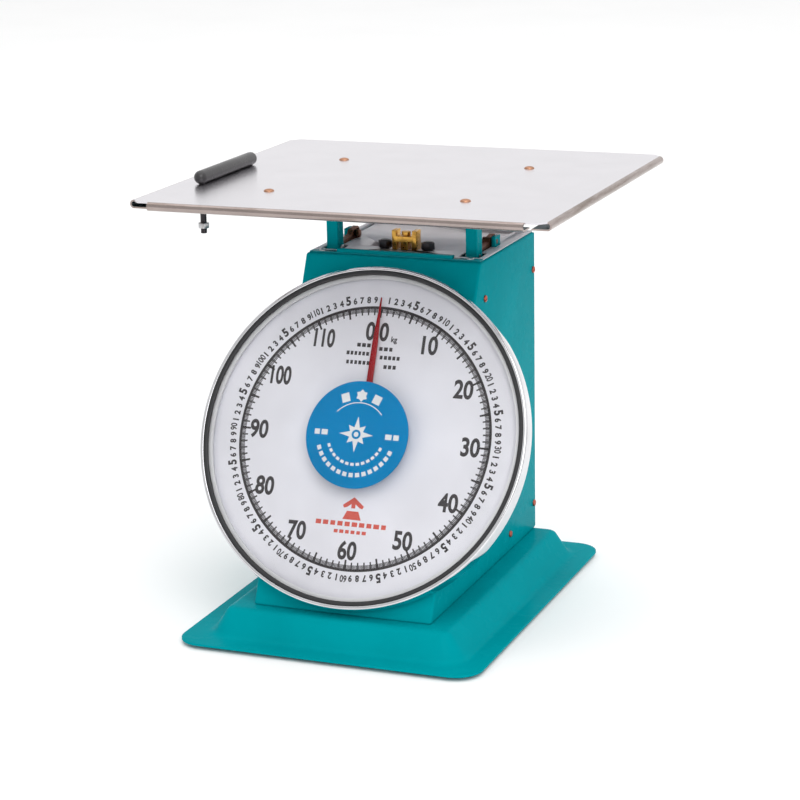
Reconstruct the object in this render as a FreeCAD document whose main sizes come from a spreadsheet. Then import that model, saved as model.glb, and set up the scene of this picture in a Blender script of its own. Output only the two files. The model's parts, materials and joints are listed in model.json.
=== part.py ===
"""Mechanical dial platform scale: a spring scale that reads 0 to 120 kg on a round dial.

Frame: +X to the right of someone reading the dial, +Y away from them, +Z up, millimetres.
The origin is on the floor, under the middle of the whole scale. The dial faces -Y and leans back.
Sizes along Y below are counted from the middle of the base, and put() moves them to the origin.
"""

import FreeCAD, Part

import math
import os
import re

import Sketcher
from FreeCAD import Placement, Rotation, Vector

# Driving dimensions. Every other size below is an expression in these names.
DIMENSIONS = {
    # distance from the middle of the base to the middle of the whole scale
    "base_setback": 14.75,
    # base tray
    "base_width": 238,
    "base_depth": 316,
    "base_corner": 20,
    "foot_height": 3,
    "foot_radius": 6,
    "base_sheet": 1.5,
    "plateau_width": 176,
    "plateau_depth": 256,
    "plateau_shift": 1,
    "plateau_top": 24.5,
    "slope_run": 14,
    # housing
    "housing_width": 142,
    "housing_front": -116,
    "housing_back": 128.5,
    "housing_top": 271,
    "housing_sheet": 1.2,
    "face_tilt": 25.2,
    "flange_border": 12,
    # dial group, measured from the housing's front face along the dial's normal
    "dial_rise": 132.4,
    "drum_radius": 128.4,
    "drum_depth": 12.4,
    "dial_face": 6.3,
    "bezel_radius": 130,
    "medallion_radius": 40.5,
    "glass_rise": 11,
    "glass_sheet": 2,
    # movement
    "pinion_teeth": 10,
    "pitch_radius": 2,
    "arbor_radius": 1.5,
    "movement_half_width": 26,
    "movement_half_height": 25,
    "plate_sheet": 1.5,
    "movement_near": 8,
    "movement_gap": 20.5,
    "bolt_inset": 4,
    # spring frame
    "frame_inner": 66.5,
    "frame_sheet": 2.5,
    "bridge_top": 254,
    "bridge_thickness": 6,
    "spring_depth": 30.5,
    "spring_offset": 17.6,
    "coil_radius": 13,
    "wire_radius": 2.75,
    "coil_count": 12,
    "coil_pitch": 6.1,
    "plug_top": 238,
    "plug_thickness": 8,
    # carriage
    "carriage_depth": 25,
    "post_offset": 57,
    "post_width": 9,
    "post_depth": 12,
    "post_wall": 2,
    "post_bottom": 108,
    "beam_bottom": 130,
    "beam_height": 10,
    "crossbar_top": 322,
    "rail_sheet": 4,
    "rail_width": 22,
    # check rods
    "rod_radius": 2,
    "rod_half_thickness": 2,
    "rod_reach": 36,
    "pivot_depth": 62,
    "rod_drop": 5.3,
    "upper_pivot": 275.3,
    "lower_pivot": 123.8,
    # platform
    "plate_width": 325,
    "plate_depth": 307,
    "plate_shift": 34,
    "plate_top": 327.2,
    "plate_thickness": 1.2,
    "rim_height": 6.4,
    "rim_return": 15,
    "rim_gap": 18,
    "rivet_offset": 77.7,
    "rivet_front": -50,
    "rivet_back": 96,
    "grip_offset": 140,
    "grip_radius": 5.2,
    "grip_front": -42,
    "grip_back": 58,
}

doc = FreeCAD.newDocument("dial_platform_scale")
sheet = doc.addObject("Spreadsheet::Sheet", "Dimensions")
for row, (alias, value) in enumerate(DIMENSIONS.items(), start=1):
    sheet.set(f"A{row}", str(value))
    sheet.setAlias(f"A{row}", alias)
doc.recompute()

AXIS_ROTATIONS = {
    "z": Rotation(),
    "x": Rotation(Vector(0, 1, 0), 90),
    "y": Rotation(Vector(1, 0, 0), -90),
}
PLANES = {"xy": "XY_Plane", "xz": "XZ_Plane", "yz": "YZ_Plane"}
ORIGIN = ("0", "0", "0")
NODES = {}


# ---------------------------------------------------------------- expressions


def expression(text):
    """The text as a FreeCAD expression, with each dimension's name read from the sheet."""
    return re.sub(
        r"[a-z_]+",
        lambda found: f"Dimensions.{found[0]}" if found[0] in DIMENSIONS else found[0],
        str(text),
    )


def number(text):
    """The expression's value in millimetres or degrees."""
    return float(sheet.evalExpression(expression(text)))


def bind(obj, **properties):
    for name, text in properties.items():
        obj.setExpression(name, expression(text))


def put(obj, place, rotation=Rotation()):
    """Places obj at three expressions counted from the base, turned by a fixed rotation."""
    obj.Placement = Placement(Vector(), rotation)
    x, y, z = place
    for axis, text in (("x", x), ("y", f"({y}) - base_setback"), ("z", z)):
        obj.setExpression(f"Placement.Base.{axis}", expression(text))
    return obj


def dial_point(x, y, z):
    """A point given in the dial's frame: x right, y up the dial, z out of it, from the housing's face."""
    up = f"(dial_rise + ({y}))"
    return (
        f"{x}",
        f"housing_front + {up} * sin(face_tilt) - ({z}) * cos(face_tilt)",
        f"plateau_top + {up} * cos(face_tilt) + ({z}) * sin(face_tilt)",
    )


def put_on_dial(obj, x="0", y="0", z="0"):
    """Places obj at a point of the dial's frame, with its own Z along the dial's normal."""
    put(obj, dial_point(x, y, z), Rotation(Vector(1, 0, 0), 1))
    obj.setExpression("Placement.Rotation.Angle", expression("90 - face_tilt"))
    return obj


# ---------------------------------------------------------------- primitives and booleans


def block(name, x, y, z):
    """A box between low and high expressions on each axis."""
    obj = doc.addObject("Part::Box", name)
    spans = [f"({high}) - ({low})" for low, high in (x, y, z)]
    bind(obj, Length=spans[0], Width=spans[1], Height=spans[2])
    return put(obj, (x[0], y[0], z[0]))


def cylinder(name, radius, length, place, axis="z"):
    """A cylinder that starts at place and runs along an axis, or along the dial's normal."""
    obj = doc.addObject("Part::Cylinder", name)
    bind(obj, Radius=radius, Height=length)
    if axis == "dial":
        return put_on_dial(obj, *place)
    return put(obj, place, AXIS_ROTATIONS[axis])


def sphere(name, radius, place):
    obj = doc.addObject("Part::Sphere", name)
    bind(obj, Radius=radius)
    return put(obj, place)


def hexagon(name, across_corners, length, place):
    """An upright hexagonal prism, such as a nut or a bolt head."""
    obj = doc.addObject("Part::Prism", name)
    obj.Polygon = 6
    bind(obj, Circumradius=across_corners, Height=length)
    return put(obj, place)


def group(name, parts):
    obj = doc.addObject("Part::Compound", name)
    obj.Links = parts
    return obj


def fuse(name, parts):
    obj = doc.addObject("Part::MultiFuse", name)
    obj.Shapes = parts
    return obj


def cut(name, base, tools):
    obj = doc.addObject("Part::Cut", name)
    obj.Base = base
    obj.Tool = tools[0] if len(tools) == 1 else group(f"{name}_tools", tools)
    return obj


def common(name, base, tool):
    obj = doc.addObject("Part::Common", name)
    obj.Base = base
    obj.Tool = tool
    return obj


def node(label, obj):
    """Names obj as one sub-part, which is written to its own file."""
    obj.Label = label
    NODES[label] = obj
    return obj


# ---------------------------------------------------------------- bodies and sketches


def new_body(name):
    return doc.addObject("PartDesign::Body", name)


def new_sketch(body, name, plane="xy", offset="0"):
    """A sketch on one of the body's own origin planes, moved along the plane's normal."""
    sketch = body.newObject("Sketcher::SketchObject", name)
    role = PLANES[plane]
    support = next(f for f in body.Origin.OriginFeatures if f.Role == role)
    sketch.AttachmentSupport = (support, [""])
    sketch.MapMode = "FlatFace"
    sketch.setExpression("AttachmentOffset.Base.z", expression(offset))
    return sketch


def fix_point(sketch, curve, end, x, y):
    """Holds one end or centre of a curve at two expressions from the sketch's origin."""
    for kind, text in (("DistanceX", x), ("DistanceY", y)):
        held = sketch.addConstraint(
            Sketcher.Constraint(kind, -1, 1, curve, end, number(text))
        )
        sketch.setExpression(f"Constraints[{held}]", expression(text))


def outline(sketch, points, arcs=None):
    """A closed outline through points. arcs maps a side's index to its middle point."""
    arcs = arcs or {}
    spots = [Vector(number(x), number(y), 0) for x, y in points]
    first = sketch.GeometryCount
    starts = []
    for i, spot in enumerate(spots):
        after = spots[(i + 1) % len(spots)]
        starts.append(1)
        if i not in arcs:
            sketch.addGeometry(Part.LineSegment(spot, after), False)
            continue
        middle = Vector(number(arcs[i][0]), number(arcs[i][1]), 0)
        if (middle - spot).cross(after - spot).z < 0:
            starts[i] = 2
            spot, after = after, spot
        sketch.addGeometry(Part.Arc(spot, middle, after), False)
    for i, (x, y) in enumerate(points):
        before = (i - 1) % len(points)
        sketch.addConstraint(
            Sketcher.Constraint(
                "Coincident", first + before, 3 - starts[before], first + i, starts[i]
            )
        )
        fix_point(sketch, first + i, starts[i], x, y)
    for i, (x, y) in arcs.items():
        sketch.addGeometry(Part.Point(Vector(number(x), number(y), 0)), True)
        middle = sketch.GeometryCount - 1
        fix_point(sketch, middle, 1, x, y)
        sketch.addConstraint(Sketcher.Constraint("PointOnObject", middle, 1, first + i))
    return sketch


def rectangle(sketch, x, y):
    return outline(sketch, [(x[0], y[0]), (x[1], y[0]), (x[1], y[1]), (x[0], y[1])])


def rounded_rectangle(sketch, x, y, corner):
    """A rectangle with quarter-circle corners."""
    (left, right), (low, high) = x, y
    bend = f"({corner}) * (1 - sqrt(2) / 2)"
    points = [
        (f"{left} + {corner}", low),
        (f"{right} - {corner}", low),
        (right, f"{low} + {corner}"),
        (right, f"{high} - {corner}"),
        (f"{right} - {corner}", high),
        (f"{left} + {corner}", high),
        (left, f"{high} - {corner}"),
        (left, f"{low} + {corner}"),
    ]
    arcs = {
        1: (f"{right} - {bend}", f"{low} + {bend}"),
        3: (f"{right} - {bend}", f"{high} - {bend}"),
        5: (f"{left} + {bend}", f"{high} - {bend}"),
        7: (f"{left} + {bend}", f"{low} + {bend}"),
    }
    return outline(sketch, points, arcs)


def circle(sketch, x, y, radius):
    centre = Vector(number(x), number(y), 0)
    sketch.addGeometry(Part.Circle(centre, Vector(0, 0, 1), number(radius)), False)
    curve = sketch.GeometryCount - 1
    fix_point(sketch, curve, 3, x, y)
    held = sketch.addConstraint(Sketcher.Constraint("Radius", curve, number(radius)))
    sketch.setExpression(f"Constraints[{held}]", expression(radius))
    return sketch


def pad(body, sketch, length, both_ways=False):
    feature = body.newObject("PartDesign::Pad", f"{sketch.Name}_pad")
    feature.Profile = sketch
    feature.Midplane = both_ways
    bind(feature, Length=length)
    body.Tip = feature
    doc.recompute()
    return feature


def pocket(body, sketch, length, both_ways=False, up=True):
    """Cuts the sketch out of the body, and stops if that removes nothing."""
    before = body.Shape.Volume
    feature = body.newObject("PartDesign::Pocket", f"{sketch.Name}_pocket")
    feature.Profile = sketch
    feature.Midplane = both_ways
    feature.Reversed = up
    bind(feature, Length=length)
    body.Tip = feature
    doc.recompute()
    if body.Shape.Volume > before - 1e-3:
        raise RuntimeError(f"{feature.Name} cuts nothing")
    return feature


def loft(body, low, high, cuts=False):
    """Joins two sketches with straight sides, as material or as a hollow."""
    before = body.Shape.Volume
    kind = "PartDesign::SubtractiveLoft" if cuts else "PartDesign::AdditiveLoft"
    feature = body.newObject(kind, f"{low.Name}_loft")
    feature.Profile = low
    feature.Sections = [high]
    feature.Ruled = True
    body.Tip = feature
    doc.recompute()
    if (body.Shape.Volume < before) != cuts:
        raise RuntimeError(f"{feature.Name} works the wrong way")
    return feature


def revolve(body, sketch):
    feature = body.newObject("PartDesign::Revolution", f"{sketch.Name}_turned")
    feature.Profile = sketch
    feature.ReferenceAxis = (sketch, ["V_Axis"])
    feature.Angle = 360
    body.Tip = feature
    doc.recompute()
    return feature


def turned(name, points, arcs=None):
    """A body of revolution about its own Z, from an outline of (radius, height) points."""
    body = new_body(name)
    revolve(body, outline(new_sketch(body, f"{name}_profile", "xz"), points, arcs))
    return body


# ---------------------------------------------------------------- base


def base_tray():
    """Pressed sheet tray: flat flange, sloped sides, raised plateau, hollow underneath."""
    body = new_body("base_tray")
    flange = new_sketch(body, "flange", offset="foot_height")
    half = ("-base_width / 2", "base_width / 2")
    rounded_rectangle(flange, half, ("-base_depth / 2", "base_depth / 2"), "base_corner")
    pad(body, flange, "base_sheet")

    rise = "(plateau_top - foot_height)"
    inset = f"(base_sheet * sqrt(1 + pow(slope_run / {rise}; 2)))"
    half_width, half_depth = "plateau_width / 2", "plateau_depth / 2"
    for name, height, margin, corner in (
        ("raised_foot", "foot_height", "slope_run", "slope_run + 5"),
        ("raised_top", "plateau_top", "0", "5"),
        ("hollow_foot", "foot_height", f"slope_run - {inset}", f"slope_run + 5 - {inset}"),
        ("hollow_top", "plateau_top - base_sheet",
         f"slope_run * base_sheet / {rise} - {inset}", "3.5"),
    ):
        x, y = f"({half_width} + {margin})", f"({half_depth} + {margin})"
        rounded_rectangle(
            new_sketch(body, name, offset=height),
            (f"-{x}", x),
            (f"plateau_shift - {y}", f"plateau_shift + {y}"),
            corner,
        )
    loft(body, doc.getObject("raised_foot"), doc.getObject("raised_top"))
    loft(body, doc.getObject("hollow_foot"), doc.getObject("hollow_top"), cuts=True)
    bolts = new_sketch(body, "base_bolt_holes", offset="foot_height")
    for x, y in FRAME_BOLT_SPOTS:
        circle(bolts, x, y, "3")
    pocket(body, bolts, "plateau_top")
    return put(body, ORIGIN)


def rubber_feet():
    """Four low round pads bonded under the flange near its corners."""
    feet = []
    for x in ("-", ""):
        for y in ("-", ""):
            place = (f"{x}106.5", f"{y}141", "0")
            name = f"foot_{len(feet)}"
            feet.append(cylinder(name, "foot_radius", "foot_height", place))
    return group("rubber_feet", feet)


# ---------------------------------------------------------------- housing


SIDE_SCREW_SPOTS = [("9", "242"), ("124", "241"), ("124", "46.7"), ("64", "38.6")]
FRAME_BOLT_SPOTS = [(f"{x}56", y) for x in ("-", "") for y in ("24", "96")]
BACK_SCREW_SPOTS = [(f"{x}64", z) for x in ("-", "") for z in ("36", "258")]
TOP_SCREW_SPOTS = [(f"{x}60", y) for x in ("-", "") for y in ("8", "122")]
MOVEMENT_BOLT_SPOTS = [
    (f"{x}(movement_half_width - bolt_inset)", f"{y}(movement_half_height - bolt_inset)")
    for x in ("-", "")
    for y in ("-", "")
]
COVER_SHEET = "1"


def face_y(z, inside=False):
    """The Y of the leaning front face, or of its inner surface, at height z."""
    line = f"housing_front + ({z} - plateau_top) * tan(face_tilt)"
    return f"{line} + housing_sheet / cos(face_tilt)" if inside else line


def housing_shell():
    """Folded sheet housing: leaning front, two sides, and narrow flanges round each opening."""
    body = new_body("housing_body")
    side = new_sketch(body, "side_profile", "yz")
    outline(
        side,
        [
            ("housing_front", "plateau_top"),
            ("housing_back", "plateau_top"),
            ("housing_back", "housing_top"),
            (face_y("housing_top"), "housing_top"),
        ],
    )
    pad(body, side, "housing_width", both_ways=True)

    floor = "plateau_top + housing_sheet"
    ceiling = "housing_top - housing_sheet"
    inside = new_sketch(body, "inside_profile", "yz")
    outline(
        inside,
        [
            (face_y(f"({floor})", True), floor),
            ("housing_back - housing_sheet", floor),
            ("housing_back - housing_sheet", ceiling),
            (face_y(f"({ceiling})", True), ceiling),
        ],
    )
    pocket(body, inside, "housing_width - 2 * housing_sheet", both_ways=True)

    half_open = "housing_width / 2 - flange_border"
    openings = [
        ("floor_opening", "xy", ("-42", "42"), ("-92", "114"), "plateau_top", True, "1"),
        ("roof_opening", "xy", (f"-({half_open} + 6.5)", f"{half_open} + 6.5"),
         ("12", "housing_back - flange_border + 2"), ceiling, True, "1"),
        ("rear_opening", "xz", (f"-({half_open})", half_open),
         ("plateau_top + 20", "housing_top - 20"), "-housing_back", True, "1"),
    ]
    for name, plane, x, y, offset, up, margin in openings:
        opening = rectangle(new_sketch(body, name, plane, offset), x, y)
        pocket(body, opening, f"housing_sheet + {margin}", up=up)

    put(body, ORIGIN)
    holes = [cylinder("panel_hole", "14", "6", ("0", "0", "-4"), "dial")]
    for i, (x, y) in enumerate(MOVEMENT_BOLT_SPOTS):
        holes.append(cylinder(f"panel_bolt_hole_{i}", "1.5", "6", (x, y, "-4"), "dial"))
    for i, (y, z) in enumerate(SIDE_SCREW_SPOTS):
        place = ("-housing_width", y, z)
        holes.append(cylinder(f"side_hole_{i}", "2", "housing_width * 2", place, "x"))
    for i, (x, z) in enumerate(BACK_SCREW_SPOTS):
        place = (x, "housing_back - 4", z)
        holes.append(cylinder(f"rear_hole_{i}", "1.5", "8", place, "y"))
    for i, (x, y) in enumerate(TOP_SCREW_SPOTS):
        holes.append(cylinder(f"roof_hole_{i}", "1.5", "8", (x, y, "housing_top - 4")))
    for i, (x, y) in enumerate(FRAME_BOLT_SPOTS):
        holes.append(cylinder(f"floor_hole_{i}", "3", "8", (x, y, "plateau_top - 4")))
    return cut("housing_shell", body, holes)


def back_cover():
    """Flat rear lid that lies on the housing's rear flanges."""
    lid = block(
        "rear_lid",
        ("-housing_width / 2 + 0.5", "housing_width / 2 - 0.5"),
        ("housing_back", "housing_back + housing_sheet"),
        ("plateau_top + 1", "housing_top - 1"),
    )
    holes = [
        cylinder(f"lid_hole_{i}", "1.5", "8", (x, "housing_back - 4", z), "y")
        for i, (x, z) in enumerate(BACK_SCREW_SPOTS)
    ]
    return cut("back_cover", lid, holes)


def top_cover():
    """Bright flat cover with windows for the posts, the check rods and their lugs."""
    lid = block(
        "roof_lid",
        ("-housing_width / 2 + 1.5", "housing_width / 2 - 1.5"),
        ("3.5", "housing_back - 1"),
        ("housing_top", f"housing_top + {COVER_SHEET}"),
    )
    z = ("housing_top - 1", "housing_top + 3")
    front, back = "carriage_depth - 10.5", "carriage_depth + 8.5"
    holes = []
    for side in (-1, 1):
        tag = "left" if side < 0 else "right"
        windows = [
            (("post_offset - 9", "post_offset + 8"), (front, back)),
            (("post_offset - 2.7", "post_offset + 2.7"), (front, "pivot_depth + 12")),
            (("post_offset + 2.5", "post_offset + 6.2"), ("pivot_depth - 6.5", "pivot_depth + 8.5")),
        ]
        for i, (x, y) in enumerate(windows):
            low, high = x if side > 0 else (f"-({x[1]})", f"-({x[0]})")
            holes.append(block(f"roof_window_{tag}_{i}", (low, high), y, z))
        place = (f"{side} * spring_offset", "spring_depth", z[0])
        holes.append(cylinder(f"hanger_hole_{tag}", "4.5", "4", place))
    for i, (x, y) in enumerate(TOP_SCREW_SPOTS):
        holes.append(cylinder(f"lid_screw_hole_{i}", "1.5", "4", (x, y, z[0])))
    holes.append(cylinder("zero_screw_hole", "2.2", "4", ("0", "spring_depth", z[0])))
    return cut("top_cover", lid, holes)


def cover_screws():
    """Eight small screws: four in the rear lid, four in the top cover."""
    screws = []
    for i, (x, z) in enumerate(BACK_SCREW_SPOTS):
        back = f"housing_back + housing_sheet"
        shank = cylinder(f"rear_shank_{i}", "1.5", "6.2", (x, f"{back} - 6.2", z), "y")
        head = cylinder(f"rear_head_{i}", "3.2", "2", (x, back, z), "y")
        screws.append(fuse(f"rear_screw_{i}", [shank, head]))
    for i, (x, y) in enumerate(TOP_SCREW_SPOTS):
        top = f"housing_top + {COVER_SHEET}"
        shank = cylinder(f"roof_shank_{i}", "1.5", "6", (x, y, f"{top} - 6"))
        head = cylinder(f"roof_head_{i}", "3", "1.6", (x, y, top))
        screws.append(fuse(f"roof_screw_{i}", [shank, head]))
    return group("cover_screws", screws)


def side_screws():
    """Eight screws with low round heads that hold the housing to the frame's side plates."""
    screws = []
    reach = "(housing_width / 2 - frame_inner - 0.2)"
    for i, (y, z) in enumerate(SIDE_SCREW_SPOTS):
        for side in (-1, 1):
            tag = f"{i}_{'left' if side < 0 else 'right'}"
            inner = "frame_inner + 0.2" if side > 0 else "-housing_width / 2"
            outer = "housing_width / 2" if side > 0 else "-housing_width / 2 - 1.8"
            shank = cylinder(f"side_shank_{tag}", "2", reach, (inner, y, z), "x")
            head = cylinder(f"side_head_{tag}", "2.7", "1.8", (outer, y, z), "x")
            screws.append(fuse(f"side_screw_{tag}", [shank, head]))
    return group("side_screws", screws)


def front_rail():
    """Low painted bar across the front edge of the top cover, between the posts."""
    z = (f"housing_top + {COVER_SHEET}", f"housing_top + {COVER_SHEET} + 2.4")
    return block("front_rail", ("-47", "47"), ("4", "9"), z)


# ---------------------------------------------------------------- inner frame


BRIDGE_BOLT_SPOTS = [(f"{x}{place[0]}", place[1])
                     for x in ("-", "") for place in (("50.5", "63"), ("58", "42"))]
LOWER_BLOCK_BOTTOM = "lower_pivot - 8"


def mirrored(side, low, high):
    """The span low to high on the right, or its mirror image on the left."""
    return (low, high) if side > 0 else (f"-({high})", f"-({low})")


def frame_side(side, name):
    """Upright steel plate with a foot flange and a top tab that carries the bridge."""
    floor = "plateau_top + housing_sheet"
    top = "bridge_top - bridge_thickness"
    outer = "frame_inner + frame_sheet"
    parts = [
        block(f"{name}_plate", mirrored(side, "frame_inner", outer), ("6", "127"), (floor, top)),
        block(f"{name}_foot", mirrored(side, "46", "frame_inner"), ("14", "106"),
              (floor, f"{floor} + frame_sheet")),
        block(f"{name}_tab", mirrored(side, "45", "frame_inner"), ("36", "72"),
              (f"{top} - 3", top)),
    ]
    x = f"{side} * 56"
    holes = [cylinder(f"{name}_foot_hole_{i}", "3", "9", (x, y, "plateau_top - 2"))
             for i, y in enumerate(("24", "96"))]
    for i, (x, y) in enumerate(BRIDGE_BOLT_SPOTS):
        holes.append(cylinder(f"{name}_tab_hole_{i}", "3", "8", (x, y, f"{top} - 5")))
    for i, (y, z) in enumerate(SIDE_SCREW_SPOTS):
        place = (f"{side} * 69 - 5", y, z)
        holes.append(cylinder(f"{name}_screw_hole_{i}", "2", "10", place, "x"))
    return cut(name, fuse(f"{name}_solid", parts), holes)


def spring_bridge():
    """Thick plate that the springs hang from, with a window round each post."""
    bottom = "bridge_top - bridge_thickness"
    plate = block("bridge_plate", ("-frame_inner - 2", "frame_inner + 2"), ("8", "74"),
                  (bottom, "bridge_top"))
    z = (f"{bottom} - 1", "bridge_top + 1")
    holes = []
    for side in (-1, 1):
        tag = "left" if side < 0 else "right"
        x = mirrored(side, "post_offset - 7", "post_offset + 7")
        y = ("carriage_depth - 8.5", "carriage_depth + 8.5")
        holes.append(block(f"bridge_window_{tag}", x, y, z))
        place = (f"{side} * spring_offset", "spring_depth", z[0])
        holes.append(cylinder(f"bridge_hanger_hole_{tag}", "4", "9", place))
    for i, (x, y) in enumerate(BRIDGE_BOLT_SPOTS):
        holes.append(cylinder(f"bridge_bolt_hole_{i}", "3", "9", (x, y, z[0])))
    holes.append(cylinder("bridge_zero_hole", "2.2", "9", ("0", "spring_depth", z[0])))
    return cut("spring_bridge", plate, holes)


def pivot_lugs():
    """Two painted angle lugs that stand up through the top cover and hold the upper rods."""
    lugs = []
    for side in (-1, 1):
        tag = "left" if side < 0 else "right"
        ear_x = mirrored(side, "post_offset + 2.8", "post_offset + 5.8")
        y = ("pivot_depth - 5", "pivot_depth + 7")
        ear = block(f"lug_ear_{tag}", ear_x, y, ("bridge_top", "upper_pivot + 4.2"))
        foot_x = mirrored(side, "45", "post_offset + 3")
        foot = block(f"lug_foot_{tag}", foot_x, y, ("bridge_top", "bridge_top + 3"))
        pivot = (f"{side} * post_offset - 8", "pivot_depth", "upper_pivot")
        holes = [
            cylinder(f"lug_pivot_hole_{tag}", "2", "16", pivot, "x"),
            cylinder(f"lug_bolt_hole_{tag}", "3", "8", (f"{side} * 50.5", "63", "bridge_top - 2")),
        ]
        lugs.append(cut(f"lug_{tag}", fuse(f"lug_solid_{tag}", [ear, foot]), holes))
    return group("pivot_lugs", lugs)


def lower_pivot_blocks():
    """Two blocks on the side plates that hold the lower rods."""
    blocks = []
    for side in (-1, 1):
        tag = "left" if side < 0 else "right"
        x = mirrored(side, "post_offset + 2.8", "frame_inner")
        z = (LOWER_BLOCK_BOTTOM, "lower_pivot + 8")
        y = ("pivot_depth - 8", "pivot_depth + 8")
        solid = block(f"pivot_block_solid_{tag}", x, y, z)
        place = (f"{side} * post_offset - 8", "pivot_depth", "lower_pivot")
        hole = cylinder(f"pivot_block_hole_{tag}", "2", "16", place, "x")
        blocks.append(cut(f"pivot_block_{tag}", solid, [hole]))
    return group("lower_pivot_blocks", blocks)


def frame_bolts():
    """Eight hexagon bolts: four through the base, four through the bridge."""
    bolts = []
    foot_top = "plateau_top + housing_sheet + frame_sheet"
    for i, (x, y) in enumerate(FRAME_BOLT_SPOTS):
        shank = cylinder(f"base_shank_{i}", "3", "11", (x, y, f"{foot_top} - 11"))
        head = hexagon(f"base_head_{i}", "5.6", "4", (x, y, foot_top))
        bolts.append(fuse(f"base_bolt_{i}", [shank, head]))
    for i, (x, y) in enumerate(BRIDGE_BOLT_SPOTS):
        seat = "bridge_top + 3" if y == "63" else "bridge_top"
        bottom = "bridge_top - bridge_thickness - 8"
        shank = cylinder(f"bridge_shank_{i}", "3", f"{seat} - ({bottom})", (x, y, bottom))
        head = hexagon(f"bridge_head_{i}", "5.6", "4", (x, y, seat))
        bolts.append(fuse(f"bridge_bolt_{i}", [shank, head]))
    return group("frame_bolts", bolts)


def hexagon_nut(name, across_corners, bore, length, place):
    solid = hexagon(f"{name}_solid", across_corners, length, place)
    return cut(name, solid, [cylinder(f"{name}_bore", bore, length, place)])


def frame_nuts():
    """Eight nuts on the frame bolts."""
    nuts = []
    for i, (x, y) in enumerate(FRAME_BOLT_SPOTS):
        place = (x, y, "plateau_top - base_sheet - 4")
        nuts.append(hexagon_nut(f"base_nut_{i}", "5.6", "3", "4", place))
    for i, (x, y) in enumerate(BRIDGE_BOLT_SPOTS):
        place = (x, y, "bridge_top - bridge_thickness - 7")
        nuts.append(hexagon_nut(f"bridge_nut_{i}", "5.6", "3", "4", place))
    return group("frame_nuts", nuts)


# ---------------------------------------------------------------- check rods


def check_rod(name, side, pivot):
    """Flat rod with a round front eye on the post's pin and a long rear eye round its fixed pivot."""
    body = new_body(name)
    plan = new_sketch(body, f"{name}_plan", "yz", "-rod_half_thickness")
    neck, tip = "(rod_reach - 5)", "(rod_reach + 9)"
    half, wide = "rod_radius", "4.6"
    outline(
        plan,
        [
            ("3.4", f"-{half}"),
            (f"{neck} - 3", f"-{half}"),
            (neck, f"-{wide}"),
            (f"{tip} - {wide}", f"-{wide}"),
            (f"{tip} - {wide}", wide),
            (neck, wide),
            (f"{neck} - 3", half),
            ("3.4", half),
        ],
        {3: (tip, "0"), 7: ("-3.95", "0")},
    )
    pad(body, plan, "2 * rod_half_thickness")
    eyes = new_sketch(body, f"{name}_eyes", "yz", "-rod_half_thickness - 1")
    circle(eyes, "0", "0", "rod_radius + 0.05")
    low, high = "(rod_reach + 0.2)", "(rod_reach + 4.7)"
    outline(
        eyes,
        [(low, "-2.6"), (high, "-2.6"), (high, "2.6"), (low, "2.6")],
        {1: (f"{high} + 2.6", "0"), 3: (f"{low} - 2.6", "0")},
    )
    pocket(body, eyes, "2 * rod_half_thickness + 2")
    place = (f"{side} * post_offset", "pivot_depth - rod_reach", f"{pivot} - rod_drop")
    put(body, place, Rotation(Vector(1, 0, 0), 1))
    body.setExpression("Placement.Rotation.Angle", expression("atan(rod_drop / rod_reach)"))
    return body


def check_rod_pivots():
    """Four shoulder screws that the check rods turn on."""
    screws = []
    for level in ("upper_pivot", "lower_pivot"):
        for side in (-1, 1):
            tag = f"{level}_{'left' if side < 0 else 'right'}"
            inner = mirrored(side, "post_offset - 2.4", "post_offset + 5.8")
            head = mirrored(side, "post_offset - 5.6", "post_offset - 2.4")
            shank = cylinder(f"shank_{tag}", "rod_radius", "8.2", (inner[0], "pivot_depth", level), "x")
            knob = cylinder(f"knob_{tag}", "3.1", "3.2", (head[0], "pivot_depth", level), "x")
            screws.append(fuse(f"pivot_{tag}", [shank, knob]))
    return group("check_rod_pivots", screws)


# ---------------------------------------------------------------- springs and zero adjuster


def hanger_bolts():
    """Two bolts that hang from the bridge and hold the springs' top plugs."""
    bolts = []
    for side in (-1, 1):
        bottom = "plug_top - plug_thickness"
        place = (f"{side} * spring_offset", "spring_depth", bottom)
        name = f"hanger_bolt_{'left' if side < 0 else 'right'}"
        bolts.append(cylinder(name, "4", f"housing_top + 7.6 - ({bottom})", place))
    return group("hanger_bolts", bolts)


def hanger_nuts():
    """Load nuts on the bridge, and dark adjusting nuts above the top cover."""
    nuts = []
    for side in (-1, 1):
        tag = "left" if side < 0 else "right"
        x = f"{side} * spring_offset"
        top = f"housing_top + {COVER_SHEET}"
        for kind, z, length in (("load", "bridge_top", "6.5"), ("adjusting", f"{top} + 0.8", "5.2")):
            place = (x, "spring_depth", z)
            nuts.append(hexagon_nut(f"{kind}_nut_{tag}", "5.6", "4", length, place))
    return group("hanger_nuts", nuts)


def spring_plugs(name, top):
    """Round plugs that the ends of the springs are screwed to."""
    plugs = []
    for side in (-1, 1):
        tag = f"{name}_{'left' if side < 0 else 'right'}"
        place = (f"{side} * spring_offset", "spring_depth", f"{top} - plug_thickness")
        solid = cylinder(f"{tag}_solid", "coil_radius + 2.5", "plug_thickness", place)
        hole = cylinder(f"{tag}_hole", "4", "plug_thickness", place)
        plugs.append(cut(tag, solid, [hole]))
    return group(name, plugs)


SPRING_TOP = "plug_top - plug_thickness"
LOWER_PLUG_TOP = f"({SPRING_TOP} - coil_count * coil_pitch - 2 * wire_radius)"


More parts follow.
